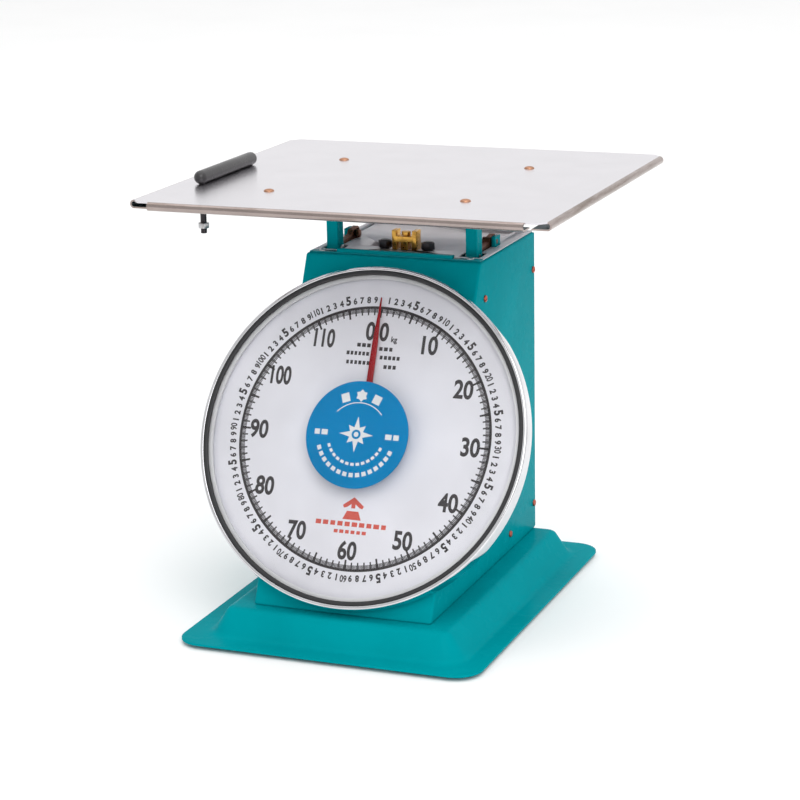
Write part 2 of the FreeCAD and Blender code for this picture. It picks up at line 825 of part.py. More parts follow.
def spring(name, side):
    """One extension spring of round wire, coiled between its two plugs."""
    radius = number("coil_radius")
    wire = number("wire_radius")
    pitch = number("coil_pitch")
    helix = Part.makeHelix(pitch, pitch * number("coil_count"), radius)
    section = Part.Wire(Part.makeCircle(wire, Vector(radius, 0, 0), Vector(0, 1, 0)))
    coil = Part.Wire(helix.Edges).makePipeShell([section], True, True)
    obj = doc.addObject("Part::Feature", name)
    obj.Shape = coil
    bottom = f"{LOWER_PLUG_TOP} + wire_radius"
    return put(obj, (f"{side} * spring_offset", "spring_depth", bottom))


def zero_block():
    """Brass block that stands on the top cover: notched on top and slotted into legs below."""
    base = f"housing_top + {COVER_SHEET}"
    y = ("spring_depth - 5", "spring_depth + 5")
    wide = ("spring_depth - 7", "spring_depth + 7")
    solid = block("zero_block_solid", ("-10", "10"), y, (base, f"{base} + 15"))
    cuts = [
        block("zero_recess", ("-6.5", "6.5"), wide, (f"{base} + 10.5", f"{base} + 16")),
        cylinder("zero_thread", "2.05", "20", ("0", "spring_depth", f"{base} - 1")),
    ]
    for side in (-1, 1):
        x = mirrored(side, "2.9", "6.1")
        name = f"zero_slot_{'left' if side < 0 else 'right'}"
        cuts.append(block(name, x, wide, (f"{base} - 1", f"{base} + 6")))
    return cut("zero_block", solid, cuts)


def zero_screw():
    """Slotted screw in the brass block, turned by hand to set the pointer to nought."""
    head = f"housing_top + {COVER_SHEET} + 10.8"
    shank = cylinder("zero_shank", "2", f"{head} - (bridge_top + 1)",
                     ("0", "spring_depth", "bridge_top + 1"))
    cap = cylinder("zero_cap", "3.4", "3", ("0", "spring_depth", head))
    slot = block("zero_slot", ("-4", "4"), ("spring_depth - 0.5", "spring_depth + 0.5"),
                 (f"{head} + 1.8", f"{head} + 4"))
    return cut("zero_screw", fuse("zero_screw_solid", [shank, cap]), [slot])


# ---------------------------------------------------------------- dial group


def dial_drum():
    """Pressed round case: back wall, outer wall and a step that the dial plate rests on."""
    wall = "drum_radius - 1"
    body = turned(
        "drum_body",
        [
            ("8", "0"),
            ("drum_radius", "0"),
            ("drum_radius", "drum_depth"),
            (wall, "drum_depth"),
            (wall, "dial_face - 1"),
            ("drum_radius - 9", "dial_face - 1"),
            ("drum_radius - 9", "dial_face - 2"),
            (wall, "dial_face - 2"),
            (wall, "1"),
            ("8", "1"),
        ],
    )
    put_on_dial(body)
    holes = [
        cylinder(f"drum_bolt_hole_{i}", "1.5", "4", (x, y, "-1"), "dial")
        for i, (x, y) in enumerate(MOVEMENT_BOLT_SPOTS)
    ]
    return cut("dial_drum", body, holes)


def dial_plate():
    """White printed disc with a hole for the pointer's arbor."""
    z = ("dial_face - 1", "dial_face")
    radius = "drum_radius - 1.2"
    return put_on_dial(
        turned("dial_plate", [("5", z[0]), (radius, z[0]), (radius, z[1]), ("5", z[1])])
    )


def dial_spacer_ring():
    """White ring with a sloping inner side that keeps the glass off the dial."""
    radius = "drum_radius - 1.2"
    return put_on_dial(
        turned(
            "dial_spacer_ring",
            [
                ("121", "dial_face"),
                (radius, "dial_face"),
                (radius, "drum_depth - 2"),
                ("123.6", "drum_depth - 2"),
            ],
        )
    )


DOME_RADIUS = "((pow(121; 2) + pow(glass_rise; 2)) / (2 * glass_rise))"


def dome_shell(name, radius, low, near, far):
    """A piece of the glass's dome that wide: between two depths behind its outer surface."""
    centre = dial_point("0", "0", f"drum_depth + glass_rise - {DOME_RADIUS}")
    balls = [
        sphere(f"{name}_ball_{i}", f"{DOME_RADIUS} - ({depth})", centre)
        for i, depth in enumerate((near, far))
    ]
    column = cylinder(f"{name}_column", radius, "20", ("0", "0", low), "dial")
    return cut(f"{name}_shell", common(f"{name}_cap", balls[0], column), [balls[1]])


def dial_glass():
    """Convex clear cover with a flat rim."""
    low = "drum_depth - glass_sheet"
    dome = dome_shell("glass", "121", low, "0", "glass_sheet")
    rim = cylinder("glass_rim", "drum_radius - 1.2", "glass_sheet", ("0", "0", low), "dial")
    inner = cylinder("glass_rim_inner", "120.9", "glass_sheet", ("0", "0", low), "dial")
    return fuse("dial_glass", [dome, cut("glass_ring", rim, [inner])])


def medallion():
    """Thin disc bonded behind the middle of the glass, curved like it."""
    return dome_shell(
        "medallion", "medallion_radius", "drum_depth", "glass_sheet + 0.1", "glass_sheet + 1.1"
    )


def bezel_seal():
    """Black rubber ring squeezed between the glass and the bezel's lip."""
    base = "drum_depth"
    return put_on_dial(
        turned(
            "bezel_seal",
            [
                ("123.4", base),
                ("128.2", base),
                ("128.2", f"{base} + 0.7"),
                ("126.6", f"{base} + 0.7"),
                ("126.6", f"{base} + 1.6"),
                ("124.2", f"{base} + 1.6"),
                ("123.4", f"{base} + 0.9"),
            ],
        )
    )


def bezel():
    """Chromed ring: a skirt over the drum's wall, rolled over to a lip that holds the glass."""
    lip = "drum_depth + 0.7"
    inner = "drum_radius + 0.2"
    return put_on_dial(
        turned(
            "bezel",
            [
                (inner, "1"),
                ("bezel_radius", "1"),
                ("bezel_radius", f"{lip} - 0.8"),
                ("bezel_radius - 2", f"{lip} + 1.2"),
                ("126.8", f"{lip} + 1.2"),
                ("126.8", lip),
                (inner, lip),
            ],
            {2: ("bezel_radius - 0.586", f"{lip} + 0.614")},
        )
    )


# ---------------------------------------------------------------- movement


def movement_plate(name, back):
    """Flat plate, parallel to the dial, that carries one end of the arbor."""
    body = new_body(f"{name}_body")
    plan = new_sketch(body, f"{name}_plan", offset=back)
    half_x, half_y = "movement_half_width", "movement_half_height"
    rectangle(plan, (f"-{half_x}", half_x), (f"-{half_y}", half_y))
    circle(plan, "0", "0", "3")
    for x, y in MOVEMENT_BOLT_SPOTS:
        circle(plan, x, y, "1.5")
    pad(body, plan, "plate_sheet")
    return put_on_dial(body)


def movement_spacers():
    """Eight tubes on the through-bolts: four before the front plate, four between the plates."""
    tubes = []
    spans = (
        ("-movement_near + plate_sheet", "-housing_sheet"),
        ("-movement_near - movement_gap", "-movement_near"),
    )
    for i, (x, y) in enumerate(MOVEMENT_BOLT_SPOTS):
        for j, (low, high) in enumerate(spans):
            length = f"({high}) - ({low})"
            outer = cylinder(f"spacer_{i}_{j}_outer", "2.6", length, (x, y, low), "dial")
            bore = cylinder(f"spacer_{i}_{j}_bore", "1.5", length, (x, y, low), "dial")
            tubes.append(cut(f"spacer_{i}_{j}", outer, [bore]))
    return group("movement_spacers", tubes)


def movement_bolts():
    """Four bolts from inside the drum, through both plates, each with its nut behind."""
    bolts = []
    back = "-movement_near - movement_gap - plate_sheet"
    for i, (x, y) in enumerate(MOVEMENT_BOLT_SPOTS):
        low = f"{back} - 3"
        shank = cylinder(f"movement_shank_{i}", "1.5", f"1 - ({low})", (x, y, low), "dial")
        head = cylinder(f"movement_head_{i}", "2.8", "2", (x, y, "1"), "dial")
        nut = cylinder(f"movement_nut_{i}", "2.9", "2.4", (x, y, f"{back} - 2.4"), "dial")
        bolts.append(fuse(f"movement_bolt_{i}", [shank, head, nut]))
    return group("movement_bolts", bolts)


def arbor_bushes():
    """Two flanged brass bushes that the arbor runs in."""
    bushes = []
    rear = "-movement_near - movement_gap - plate_sheet"
    for name, z, flange in (
        ("front_bush", "-movement_near", "-movement_near + plate_sheet"),
        ("rear_bush", rear, f"{rear} - 1"),
    ):
        barrel = cylinder(f"{name}_barrel", "3", "plate_sheet", ("0", "0", z), "dial")
        collar = cylinder(f"{name}_collar", "4.5", "1", ("0", "0", flange), "dial")
        bore = cylinder(f"{name}_bore", "arbor_radius + 0.05", "8", ("0", "0", f"{z} - 3"), "dial")
        bushes.append(cut(name, fuse(f"{name}_solid", [barrel, collar]), [bore]))
    return group("arbor_bushes", bushes)


def tooth_angle(step):
    """Angle about the arbor of a point that many tooth pitches round from +X."""
    return f"({step} * 360 / pinion_teeth)"


def pointer_arbor():
    """Arbor with its pinion cut in one piece."""
    body = new_body("pointer_arbor")
    long = new_sketch(body, "arbor_section", offset="-movement_near - movement_gap - 3.5")
    circle(long, "0", "0", "arbor_radius")
    pad(body, long, "movement_near + movement_gap + 3.5 + dial_face + 6.5")
    teeth = new_sketch(body, "pinion_section", offset="-movement_near - movement_gap + 3")
    module = "(2 * pitch_radius / pinion_teeth)"
    root, pitch, tip = "arbor_radius + 0.01", "pitch_radius", f"pitch_radius + 0.85 * {module}"
    flanks = [(root, -0.36), (pitch, -0.225), (tip, -0.1), (tip, 0.1), (pitch, 0.225), (root, 0.36)]
    points = []
    for tooth in range(int(DIMENSIONS["pinion_teeth"])):
        for radius, share in flanks:
            angle = tooth_angle(tooth + 0.5 + share)
            points.append((f"({radius}) * cos({angle})", f"({radius}) * sin({angle})"))
    outline(teeth, points)
    pad(body, teeth, "14")
    return put_on_dial(body)


def pointer_hub():
    """Brass collar that the needle is staked to."""
    z = ("dial_face + 1.2", "dial_face + 5")
    profile = [
        ("arbor_radius", z[0]),
        ("6.5", z[0]),
        ("6.5", "dial_face + 2.9"),
        ("4", "dial_face + 2.9"),
        ("4", z[1]),
        ("arbor_radius", z[1]),
    ]
    return put_on_dial(turned("pointer_hub", profile))


def pointer_needle():
    """Red tapered needle with a counterweight tail."""
    body = new_body("pointer_needle")
    plan = new_sketch(body, "needle_plan", offset="dial_face + 2.9")
    outline(
        plan,
        [
            ("2.7", "7.5"),
            ("2.2", "72"),
            ("0.9", "96"),
            ("0.4", "107"),
            ("-0.4", "107"),
            ("-0.9", "96"),
            ("-2.2", "72"),
            ("-2.7", "7.5"),
            ("-7.94", "0"),
            ("-2.4", "-7.5"),
            ("-5.5", "-22"),
            ("-5.5", "-31"),
            ("5.5", "-31"),
            ("5.5", "-22"),
            ("2.4", "-7.5"),
            ("7.94", "0"),
        ],
        {11: ("0", "-34")},
    )
    circle(plan, "0", "0", "4")
    pad(body, plan, "0.8")
    return put_on_dial(body)


RACK_SCREW_SPOTS = [dial_point("0", y, "-15") for y in ("-45", "-36")]


def rack():
    """Toothed bar, parallel to the dial, that the carriage draws down past the pinion."""
    body = new_body("rack_body")
    pitch = "(2 * pi * pitch_radius / pinion_teeth)"
    module = "(2 * pitch_radius / pinion_teeth)"
    root, tip = f"pitch_radius + 1.1 * {module}", f"pitch_radius - 0.8 * {module}"
    plan = new_sketch(body, "rack_plan", offset="-16.5")
    points = [("8.5", "-50"), ("8.5", "20"), (root, "20")]
    teeth = range(13, -5, -1)
    for tooth in teeth:
        for across, share in ((root, 0.36), (tip, 0.09), (tip, -0.09), (root, -0.36)):
            points.append((across, f"({tooth + share}) * {pitch}"))
    points.append((root, "-50"))
    outline(plan, points)
    pad(body, plan, "3")
    put_on_dial(body)
    holes = [
        cylinder(f"rack_screw_hole_{i}", "1.5", "9", ("0", y, z), "x")
        for i, (_, y, z) in enumerate(RACK_SCREW_SPOTS)
    ]
    return cut("rack", body, holes)


# ---------------------------------------------------------------- carriage


def post(side, name):
    """Painted channel post, open at the back, that passes down through the top cover."""
    half, wall = "post_width / 2", "post_wall"
    body = new_body(f"{name}_body")
    plan = new_sketch(body, f"{name}_plan", offset="post_bottom")
    front, back = "-post_depth / 2", "post_depth / 2"
    outline(
        plan,
        [
            (f"-({half})", front),
            (half, front),
            (half, back),
            (f"{half} - {wall}", back),
            (f"{half} - {wall}", f"{front} + {wall}"),
            (f"-({half}) + {wall}", f"{front} + {wall}"),
            (f"-({half}) + {wall}", back),
            (f"-({half})", back),
        ],
    )
    pad(body, plan, "crossbar_top - 3 - post_bottom")
    put(body, (f"{side} * post_offset", "carriage_depth", "0"))
    x = f"{side} * post_offset - 10"
    pin_y = "pivot_depth - rod_reach"
    holes = [
        cylinder(f"{name}_upper_pin_hole", "2", "20", (x, pin_y, "upper_pivot - rod_drop"), "x"),
        cylinder(f"{name}_lower_pin_hole", "2", "20", (x, pin_y, "lower_pivot - rod_drop"), "x"),
        cylinder(f"{name}_beam_hole", "3", "20", (x, "carriage_depth", BEAM_MIDDLE), "x"),
        cylinder(f"{name}_crossbar_hole", "3", "20",
                 (f"{side} * post_offset", "carriage_depth - 12", CROSSBAR_BOLT), "y"),
    ]
    return cut(name, body, holes)


BEAM_MIDDLE = "beam_bottom + beam_height / 2"
CROSSBAR_BOLT = "crossbar_top - 11"


def lower_beam():
    """Solid bar between the posts that the springs pull up on."""
    half = "post_offset - post_width / 2"
    bar = block("beam_bar", (f"-({half})", half), ("carriage_depth - 8", "spring_depth + 8"),
                ("beam_bottom", "beam_bottom + beam_height"))
    holes = []
    for side in (-1, 1):
        tag = "left" if side < 0 else "right"
        place = (f"{side} * spring_offset", "spring_depth", "beam_bottom - 1")
        holes.append(cylinder(f"beam_anchor_hole_{tag}", "4", "beam_height + 2", place))
        start = mirrored(side, "post_offset - 17.5", "post_offset")[0]
        place = (start, "carriage_depth", BEAM_MIDDLE)
        holes.append(cylinder(f"beam_bolt_hole_{tag}", "3", "17.5", place, "x"))
    return cut("lower_beam", bar, holes)


def carriage_bolts():
    """Four bolts: one at each end of the lower beam, one at each post's top."""
    bolts = []
    for side in (-1, 1):
        tag = "left" if side < 0 else "right"
        outer = "post_offset + post_width / 2"
        shank_x = mirrored(side, f"{outer} - 21", outer)
        head_x = mirrored(side, outer, f"{outer} + 2.4")
        shank = cylinder(f"beam_shank_{tag}", "3", "21", (shank_x[0], "carriage_depth", BEAM_MIDDLE), "x")
        head = cylinder(f"beam_head_{tag}", "5", "2.4", (head_x[0], "carriage_depth", BEAM_MIDDLE), "x")
        bolts.append(fuse(f"beam_bolt_{tag}", [shank, head]))
        x = f"{side} * post_offset"
        front = "carriage_depth - post_depth / 2 - 3"
        rod = cylinder(f"top_shank_{tag}", "3", "post_depth + 10", (x, front, CROSSBAR_BOLT), "y")
        cap = cylinder(f"top_head_{tag}", "5", "4", (x, f"{front} - 4", CROSSBAR_BOLT), "y")
        nut = cylinder(f"top_nut_{tag}", "5", "4",
                       (x, "carriage_depth + post_depth / 2 + 3", CROSSBAR_BOLT), "y")
        bolts.append(fuse(f"top_bolt_{tag}", [rod, cap, nut]))
    return group("carriage_bolts", bolts)


def spring_anchor_bolts():
    """Two bolts up through the lower beam into the springs' bottom plugs."""
    bolts = []
    for side in (-1, 1):
        tag = "left" if side < 0 else "right"
        x = f"{side} * spring_offset"
        shank = cylinder(f"anchor_shank_{tag}", "4", f"{LOWER_PLUG_TOP} - beam_bottom",
                         (x, "spring_depth", "beam_bottom"))
        head = hexagon(f"anchor_head_{tag}", "7.4", "5", (x, "spring_depth", "beam_bottom - 5"))
        bolts.append(fuse(f"anchor_bolt_{tag}", [shank, head]))
    return group("spring_anchor_bolts", bolts)


def rack_bracket():
    """Plate arm from the lower beam, forward and down to the foot of the rack."""
    body = new_body("rack_bracket_body")
    side = new_sketch(body, "bracket_side", "yz", "8.5")
    outline(
        side,
        [
            ("carriage_depth - 8", "beam_bottom + 9"),
            ("carriage_depth - 8", "beam_bottom - 5"),
            ("-32", "92"),
            ("-70", "86"),
            ("-61.5", "112"),
            ("-54.8", "109.5"),
            ("-41.2", "103.2"),
        ],
    )
    pad(body, side, "3")
    put(body, ORIGIN)
    holes = [
        cylinder(f"bracket_screw_hole_{i}", "1.5", "5", ("8", y, z), "x")
        for i, (_, y, z) in enumerate(RACK_SCREW_SPOTS)
    ]
    return cut("rack_bracket", body, holes)


def rack_screws():
    """Two screws that clamp the rack to its bracket."""
    screws = []
    for i, (_, y, z) in enumerate(RACK_SCREW_SPOTS):
        shank = cylinder(f"rack_shank_{i}", "1.5", "9", ("2.5", y, z), "x")
        head = cylinder(f"rack_head_{i}", "2.8", "2", ("11.5", y, z), "x")
        screws.append(fuse(f"rack_screw_{i}", [shank, head]))
    return group("rack_screws", screws)


def check_rod_pins():
    """Four headed pins across the posts that carry the rods' round eyes."""
    pins = []
    for level in ("upper_pivot", "lower_pivot"):
        for side in (-1, 1):
            tag = f"{level}_{'left' if side < 0 else 'right'}"
            z = f"{level} - rod_drop"
            half = "post_width / 2"
            shank_x = mirrored(side, f"post_offset - {half}", f"post_offset + {half}")
            head_x = mirrored(side, f"post_offset - {half} - 1.6", f"post_offset - {half}")
            y = "pivot_depth - rod_reach"
            shank = cylinder(f"pin_{tag}", "rod_radius", "post_width", (shank_x[0], y, z), "x")
            head = cylinder(f"pin_head_{tag}", "3.4", "1.6", (head_x[0], y, z), "x")
            pins.append(fuse(f"headed_pin_{tag}", [shank, head]))
    return group("check_rod_pins", pins)


# ---------------------------------------------------------------- platform


RIVET_SPOTS = [(f"{x}rivet_offset", y) for x in ("-", "") for y in ("rivet_front", "rivet_back")]
GRIP_BOLT_SPOTS = ["grip_front + 7", "grip_back - 7"]


def platform_crossbar():
    """Channel across the tops of both posts, open downwards."""
    body = new_body("crossbar_body")
    section = new_sketch(body, "crossbar_section", "yz")
    inner = "post_depth / 2"
    middle = "carriage_depth"
    bottom = "crossbar_top - 18"
    outline(
        section,
        [
            (f"{middle} - {inner} - 3", bottom),
            (f"{middle} - {inner}", bottom),
            (f"{middle} - {inner}", "crossbar_top - 3"),
            (f"{middle} + {inner}", "crossbar_top - 3"),
            (f"{middle} + {inner}", bottom),
            (f"{middle} + {inner} + 3", bottom),
            (f"{middle} + {inner} + 3", "crossbar_top"),
            (f"{middle} - {inner} - 3", "crossbar_top"),
        ],
    )
    pad(body, section, "2 * rivet_offset + rail_width", both_ways=True)
    put(body, ORIGIN)
    holes = [
        cylinder(f"crossbar_bolt_hole_{side}", "3", "40",
                 (f"{side} * post_offset", "carriage_depth - 20", CROSSBAR_BOLT), "y")
        for side in (-1, 1)
    ]
    return cut("platform_crossbar", body, holes)


def platform_rails():
    """Two flat bars under the plate, from front to back, welded over the crossbar."""
    rails = []
    for side in (-1, 1):
        tag = "left" if side < 0 else "right"
        x = (f"{side} * rivet_offset - rail_width / 2", f"{side} * rivet_offset + rail_width / 2")
        bar = block(f"rail_bar_{tag}", x, ("rivet_front - 12", "rivet_back + 12"),
                    ("crossbar_top", "crossbar_top + rail_sheet"))
        holes = [
            cylinder(f"rail_hole_{tag}_{i}", "2.5", "8", (f"{side} * rivet_offset", y, "crossbar_top - 2"))
            for i, y in enumerate(("rivet_front", "rivet_back"))
        ]
        rails.append(cut(f"rail_{tag}", bar, holes))
    return group("platform_rails", rails)


RIM_ROLL = "(rim_height / 2)"


def rim_section(sketch):
    """The rim's section, from its outer top edge: sheet rolled half round and back underneath."""
    inner = f"({RIM_ROLL} - plate_thickness)"
    points = [
        ("-rim_return", "0"),
        (f"-{RIM_ROLL}", "0"),
        (f"-{RIM_ROLL}", "-rim_height"),
        ("-rim_return", "-rim_height"),
        ("-rim_return", "-rim_height + plate_thickness"),
        (f"-{RIM_ROLL}", "-rim_height + plate_thickness"),
        (f"-{RIM_ROLL}", "-plate_thickness"),
        ("-rim_return", "-plate_thickness"),
    ]
    middle = f"-{RIM_ROLL}"
    return outline(sketch, points, {1: ("0", middle), 5: (f"-{RIM_ROLL} + {inner}", middle)})


def platform_plate():
    """Stainless plate: flat sheet, rims rolled under on four sides, open corners."""
    body = new_body("plate_body")
    flat = new_sketch(body, "plate_flat", offset="plate_top - plate_thickness")
    half_x, half_y = "plate_width / 2", "plate_depth / 2"
    rectangle(
        flat,
        (f"-({half_x} - {RIM_ROLL})", f"{half_x} - {RIM_ROLL}"),
        (f"-({half_y} - {RIM_ROLL})", f"{half_y} - {RIM_ROLL}"),
    )
    pad(body, flat, "plate_thickness")
    put(body, ("0", "plate_shift", "0"))
    rims = [body]
    for tag, turn, x, y, half_length in (
        ("right", 0, half_x, "plate_shift", f"{half_y} - 1.5"),
        ("rear", 90, "0", f"plate_shift + {half_y}", f"{half_x} - rim_gap"),
        ("left", 180, f"-{half_x}", "plate_shift", f"{half_y} - 1.5"),
        ("front", 270, "0", f"plate_shift - {half_y}", f"{half_x} - rim_gap"),
    ):
        rim = new_body(f"rim_{tag}")
        section = rim_section(new_sketch(rim, f"rim_section_{tag}", "xz"))
        pad(rim, section, f"2 * ({half_length})", both_ways=True)
        put(rim, (x, y, "plate_top"), Rotation(Vector(0, 0, 1), turn))
        rims.append(rim)
    holes = [
        cylinder(f"plate_rivet_hole_{i}", "2.5", "4", (x, y, "plate_top - 3"))
        for i, (x, y) in enumerate(RIVET_SPOTS)
    ]
    for i, y in enumerate(GRIP_BOLT_SPOTS):
        holes.append(cylinder(f"plate_grip_hole_{i}", "2.5", "4", ("-grip_offset", y, "plate_top - 3")))
    return cut("platform_plate", fuse("plate_solid", rims), holes)


def plate_rivets():
    """Four rivets with low domed heads that hold the plate to its rails."""
    rivets = []
    for i, (x, y) in enumerate(RIVET_SPOTS):
        grip = "plate_thickness + rail_sheet"
        shank = cylinder(f"rivet_shank_{i}", "2.5", grip, (x, y, f"plate_top - ({grip})"))
        tail = cylinder(f"rivet_tail_{i}", "4", "1.5", (x, y, f"plate_top - ({grip}) - 1.5"))
        ball = sphere(f"rivet_ball_{i}", "5.5", (x, y, "plate_top + 1.7 - 5.5"))
        above = cylinder(f"rivet_above_{i}", "8", "4", (x, y, "plate_top"))
        head = common(f"rivet_head_{i}", ball, above)
        rivets.append(fuse(f"rivet_{i}", [shank, tail, head]))
    return group("plate_rivets", rivets)


def side_grip():
    """Black rubber bar with rounded ends, fixed along the plate's left side."""
    radius = "grip_radius"
    x, z = "-grip_offset", "plate_top + grip_radius"
    start, end = f"grip_front + {radius}", f"grip_back - {radius}"
    bar = cylinder("grip_bar", radius, f"({end}) - ({start})", (x, start, z), "y")
    ends = [sphere(f"grip_ball_{i}", radius, (x, y, z)) for i, y in enumerate((start, end))]
    holes = [
        cylinder(f"grip_hole_{i}", "2.5", f"{radius} + 2", (x, y, "plate_top"))
        for i, y in enumerate(GRIP_BOLT_SPOTS)
    ]
    return cut("side_grip", fuse("grip_solid", [bar, *ends]), holes)


def grip_bolts():
    """Two long bolts from the grip down through the plate."""
    bolts = []
    for i, y in enumerate(GRIP_BOLT_SPOTS):
        length = "40 + grip_radius"
        place = ("-grip_offset", y, "plate_top - 38")
        bolts.append(cylinder(f"grip_bolt_{i}", "2.5", length, place))
    return group("grip_bolts", bolts)


def grip_nuts():
    """A clamp nut under the plate and a flanged nut lower down, on each grip bolt."""
    nuts = []
    for i, y in enumerate(GRIP_BOLT_SPOTS):
        for j, (drop, length) in enumerate((("plate_thickness + 4", "4"), ("34", "4"))):
            place = ("-grip_offset", y, f"plate_top - ({drop})")
            nuts.append(hexagon_nut(f"grip_nut_{i}_{j}", "4.6", "2.5", length, place))
    return group("grip_nuts", nuts)


# ---------------------------------------------------------------- the whole scale


def build():
    for make in (
        base_tray, rubber_feet, housing_shell, back_cover, top_cover, cover_screws, side_screws,
        front_rail, spring_bridge, pivot_lugs, lower_pivot_blocks, frame_bolts, frame_nuts,
        check_rod_pivots, hanger_bolts, hanger_nuts, zero_block, zero_screw, dial_drum,
        dial_plate, dial_spacer_ring, dial_glass, bezel_seal, bezel, medallion,
        movement_spacers, movement_bolts, arbor_bushes, pointer_arbor, pointer_hub,
        pointer_needle, rack, rack_bracket, rack_screws, lower_beam, carriage_bolts,
        spring_anchor_bolts, check_rod_pins, platform_crossbar, platform_rails,
        platform_plate, plate_rivets, side_grip, grip_bolts, grip_nuts,
    ):
        node(make.__name__, make())
    for side, tag in ((-1, "left"), (1, "right")):
        node(f"frame_{tag}", frame_side(side, f"frame_{tag}"))
        node(f"post_{tag}", post(side, f"post_{tag}"))
        node(f"spring_{tag}", spring(f"spring_{tag}", side))
        node(f"upper_rod_{tag}", check_rod(f"upper_rod_{tag}", side, "upper_pivot"))
        node(f"lower_rod_{tag}", check_rod(f"lower_rod_{tag}", side, "lower_pivot"))
    node("spring_top_plugs", spring_plugs("spring_top_plugs", "plug_top"))
    node("spring_bottom_plugs", spring_plugs("spring_bottom_plugs", LOWER_PLUG_TOP))
    front = "-movement_near"
    rear = "-movement_near - movement_gap - plate_sheet"
    node("movement_front_plate", movement_plate("movement_front_plate", front))
    node("movement_rear_plate", movement_plate("movement_rear_plate", rear))


def check():
    """Stops if any object failed to compute or any sub-part is not a sound solid."""
    for obj in doc.Objects:
        if "Invalid" in obj.State or "Error" in obj.State:
            raise RuntimeError(f"{obj.Name} failed: {obj.State}")
    for label, obj in NODES.items():
        if obj.Shape.isNull() or not obj.Shape.isValid() or not obj.Shape.Solids:
            raise RuntimeError(f"{label} has no sound solid")


def write():
    os.makedirs("parts", exist_ok=True)
    for label, obj in NODES.items():
        obj.Shape.exportStep(os.path.join("parts", f"{label}.step"))
    print(f"{len(NODES)} nodes written")


build()
doc.recompute()
check()
write()
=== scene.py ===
"""Looks of the mechanical dial platform scale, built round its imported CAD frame, in metres."""

import json
import math
import random

import bmesh
import bpy
from mathutils import Matrix, Vector


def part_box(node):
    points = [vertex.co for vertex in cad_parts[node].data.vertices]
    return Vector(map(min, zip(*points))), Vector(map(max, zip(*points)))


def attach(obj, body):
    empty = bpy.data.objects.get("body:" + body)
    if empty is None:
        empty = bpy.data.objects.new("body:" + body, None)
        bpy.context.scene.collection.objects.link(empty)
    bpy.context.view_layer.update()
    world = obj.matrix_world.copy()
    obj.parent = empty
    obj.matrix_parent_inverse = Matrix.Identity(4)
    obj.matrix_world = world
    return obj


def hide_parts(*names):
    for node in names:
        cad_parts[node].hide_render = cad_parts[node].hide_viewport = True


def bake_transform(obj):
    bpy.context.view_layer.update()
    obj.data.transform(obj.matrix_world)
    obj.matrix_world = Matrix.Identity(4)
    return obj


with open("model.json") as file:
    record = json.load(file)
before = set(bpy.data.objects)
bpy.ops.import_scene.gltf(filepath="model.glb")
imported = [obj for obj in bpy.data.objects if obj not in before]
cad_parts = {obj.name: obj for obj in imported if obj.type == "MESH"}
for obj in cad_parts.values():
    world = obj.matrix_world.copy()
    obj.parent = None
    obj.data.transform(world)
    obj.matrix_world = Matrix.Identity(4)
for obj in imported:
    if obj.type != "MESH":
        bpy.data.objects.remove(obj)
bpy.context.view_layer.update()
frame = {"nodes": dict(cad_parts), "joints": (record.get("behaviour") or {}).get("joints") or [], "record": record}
NODES = frame["nodes"]
MM = 0.001
DICE = random.Random(7)


# ---------------------------------------------------------------- measuring the CAD


def at_height(node, z, reach=0.02 * MM):
    """Lowest and highest X and Y among a node's vertices at one height."""
    found = [v.co for v in NODES[node].data.vertices if abs(v.co.z - z) < reach]
    xs, ys = [p.x for p in found], [p.y for p in found]
    return min(xs), max(xs), min(ys), max(ys)


SPIN = next(j for j in frame["joints"] if j["name"] == "pointer_spin")
DIAL_NORMAL = -Vector(SPIN["axis"]).normalized()
DIAL_UP = DIAL_NORMAL.cross(Vector((1, 0, 0)))
DIAL = Matrix.Translation(Vector(SPIN["pos_m"])) @ Matrix(
    ((1, 0, 0), DIAL_UP, DIAL_NORMAL)
).transposed().to_4x4()


def dial_span(node):
    """Smallest and largest radius and height of a node's vertices in the dial's frame."""
    inverse = DIAL.inverted()
    found = [inverse @ v.co for v in NODES[node].data.vertices]
    radii = [p.xy.length for p in found]
    heights = [p.z for p in found]
    return min(radii), max(radii), min(heights), max(heights)


# ---------------------------------------------------------------- procedural materials


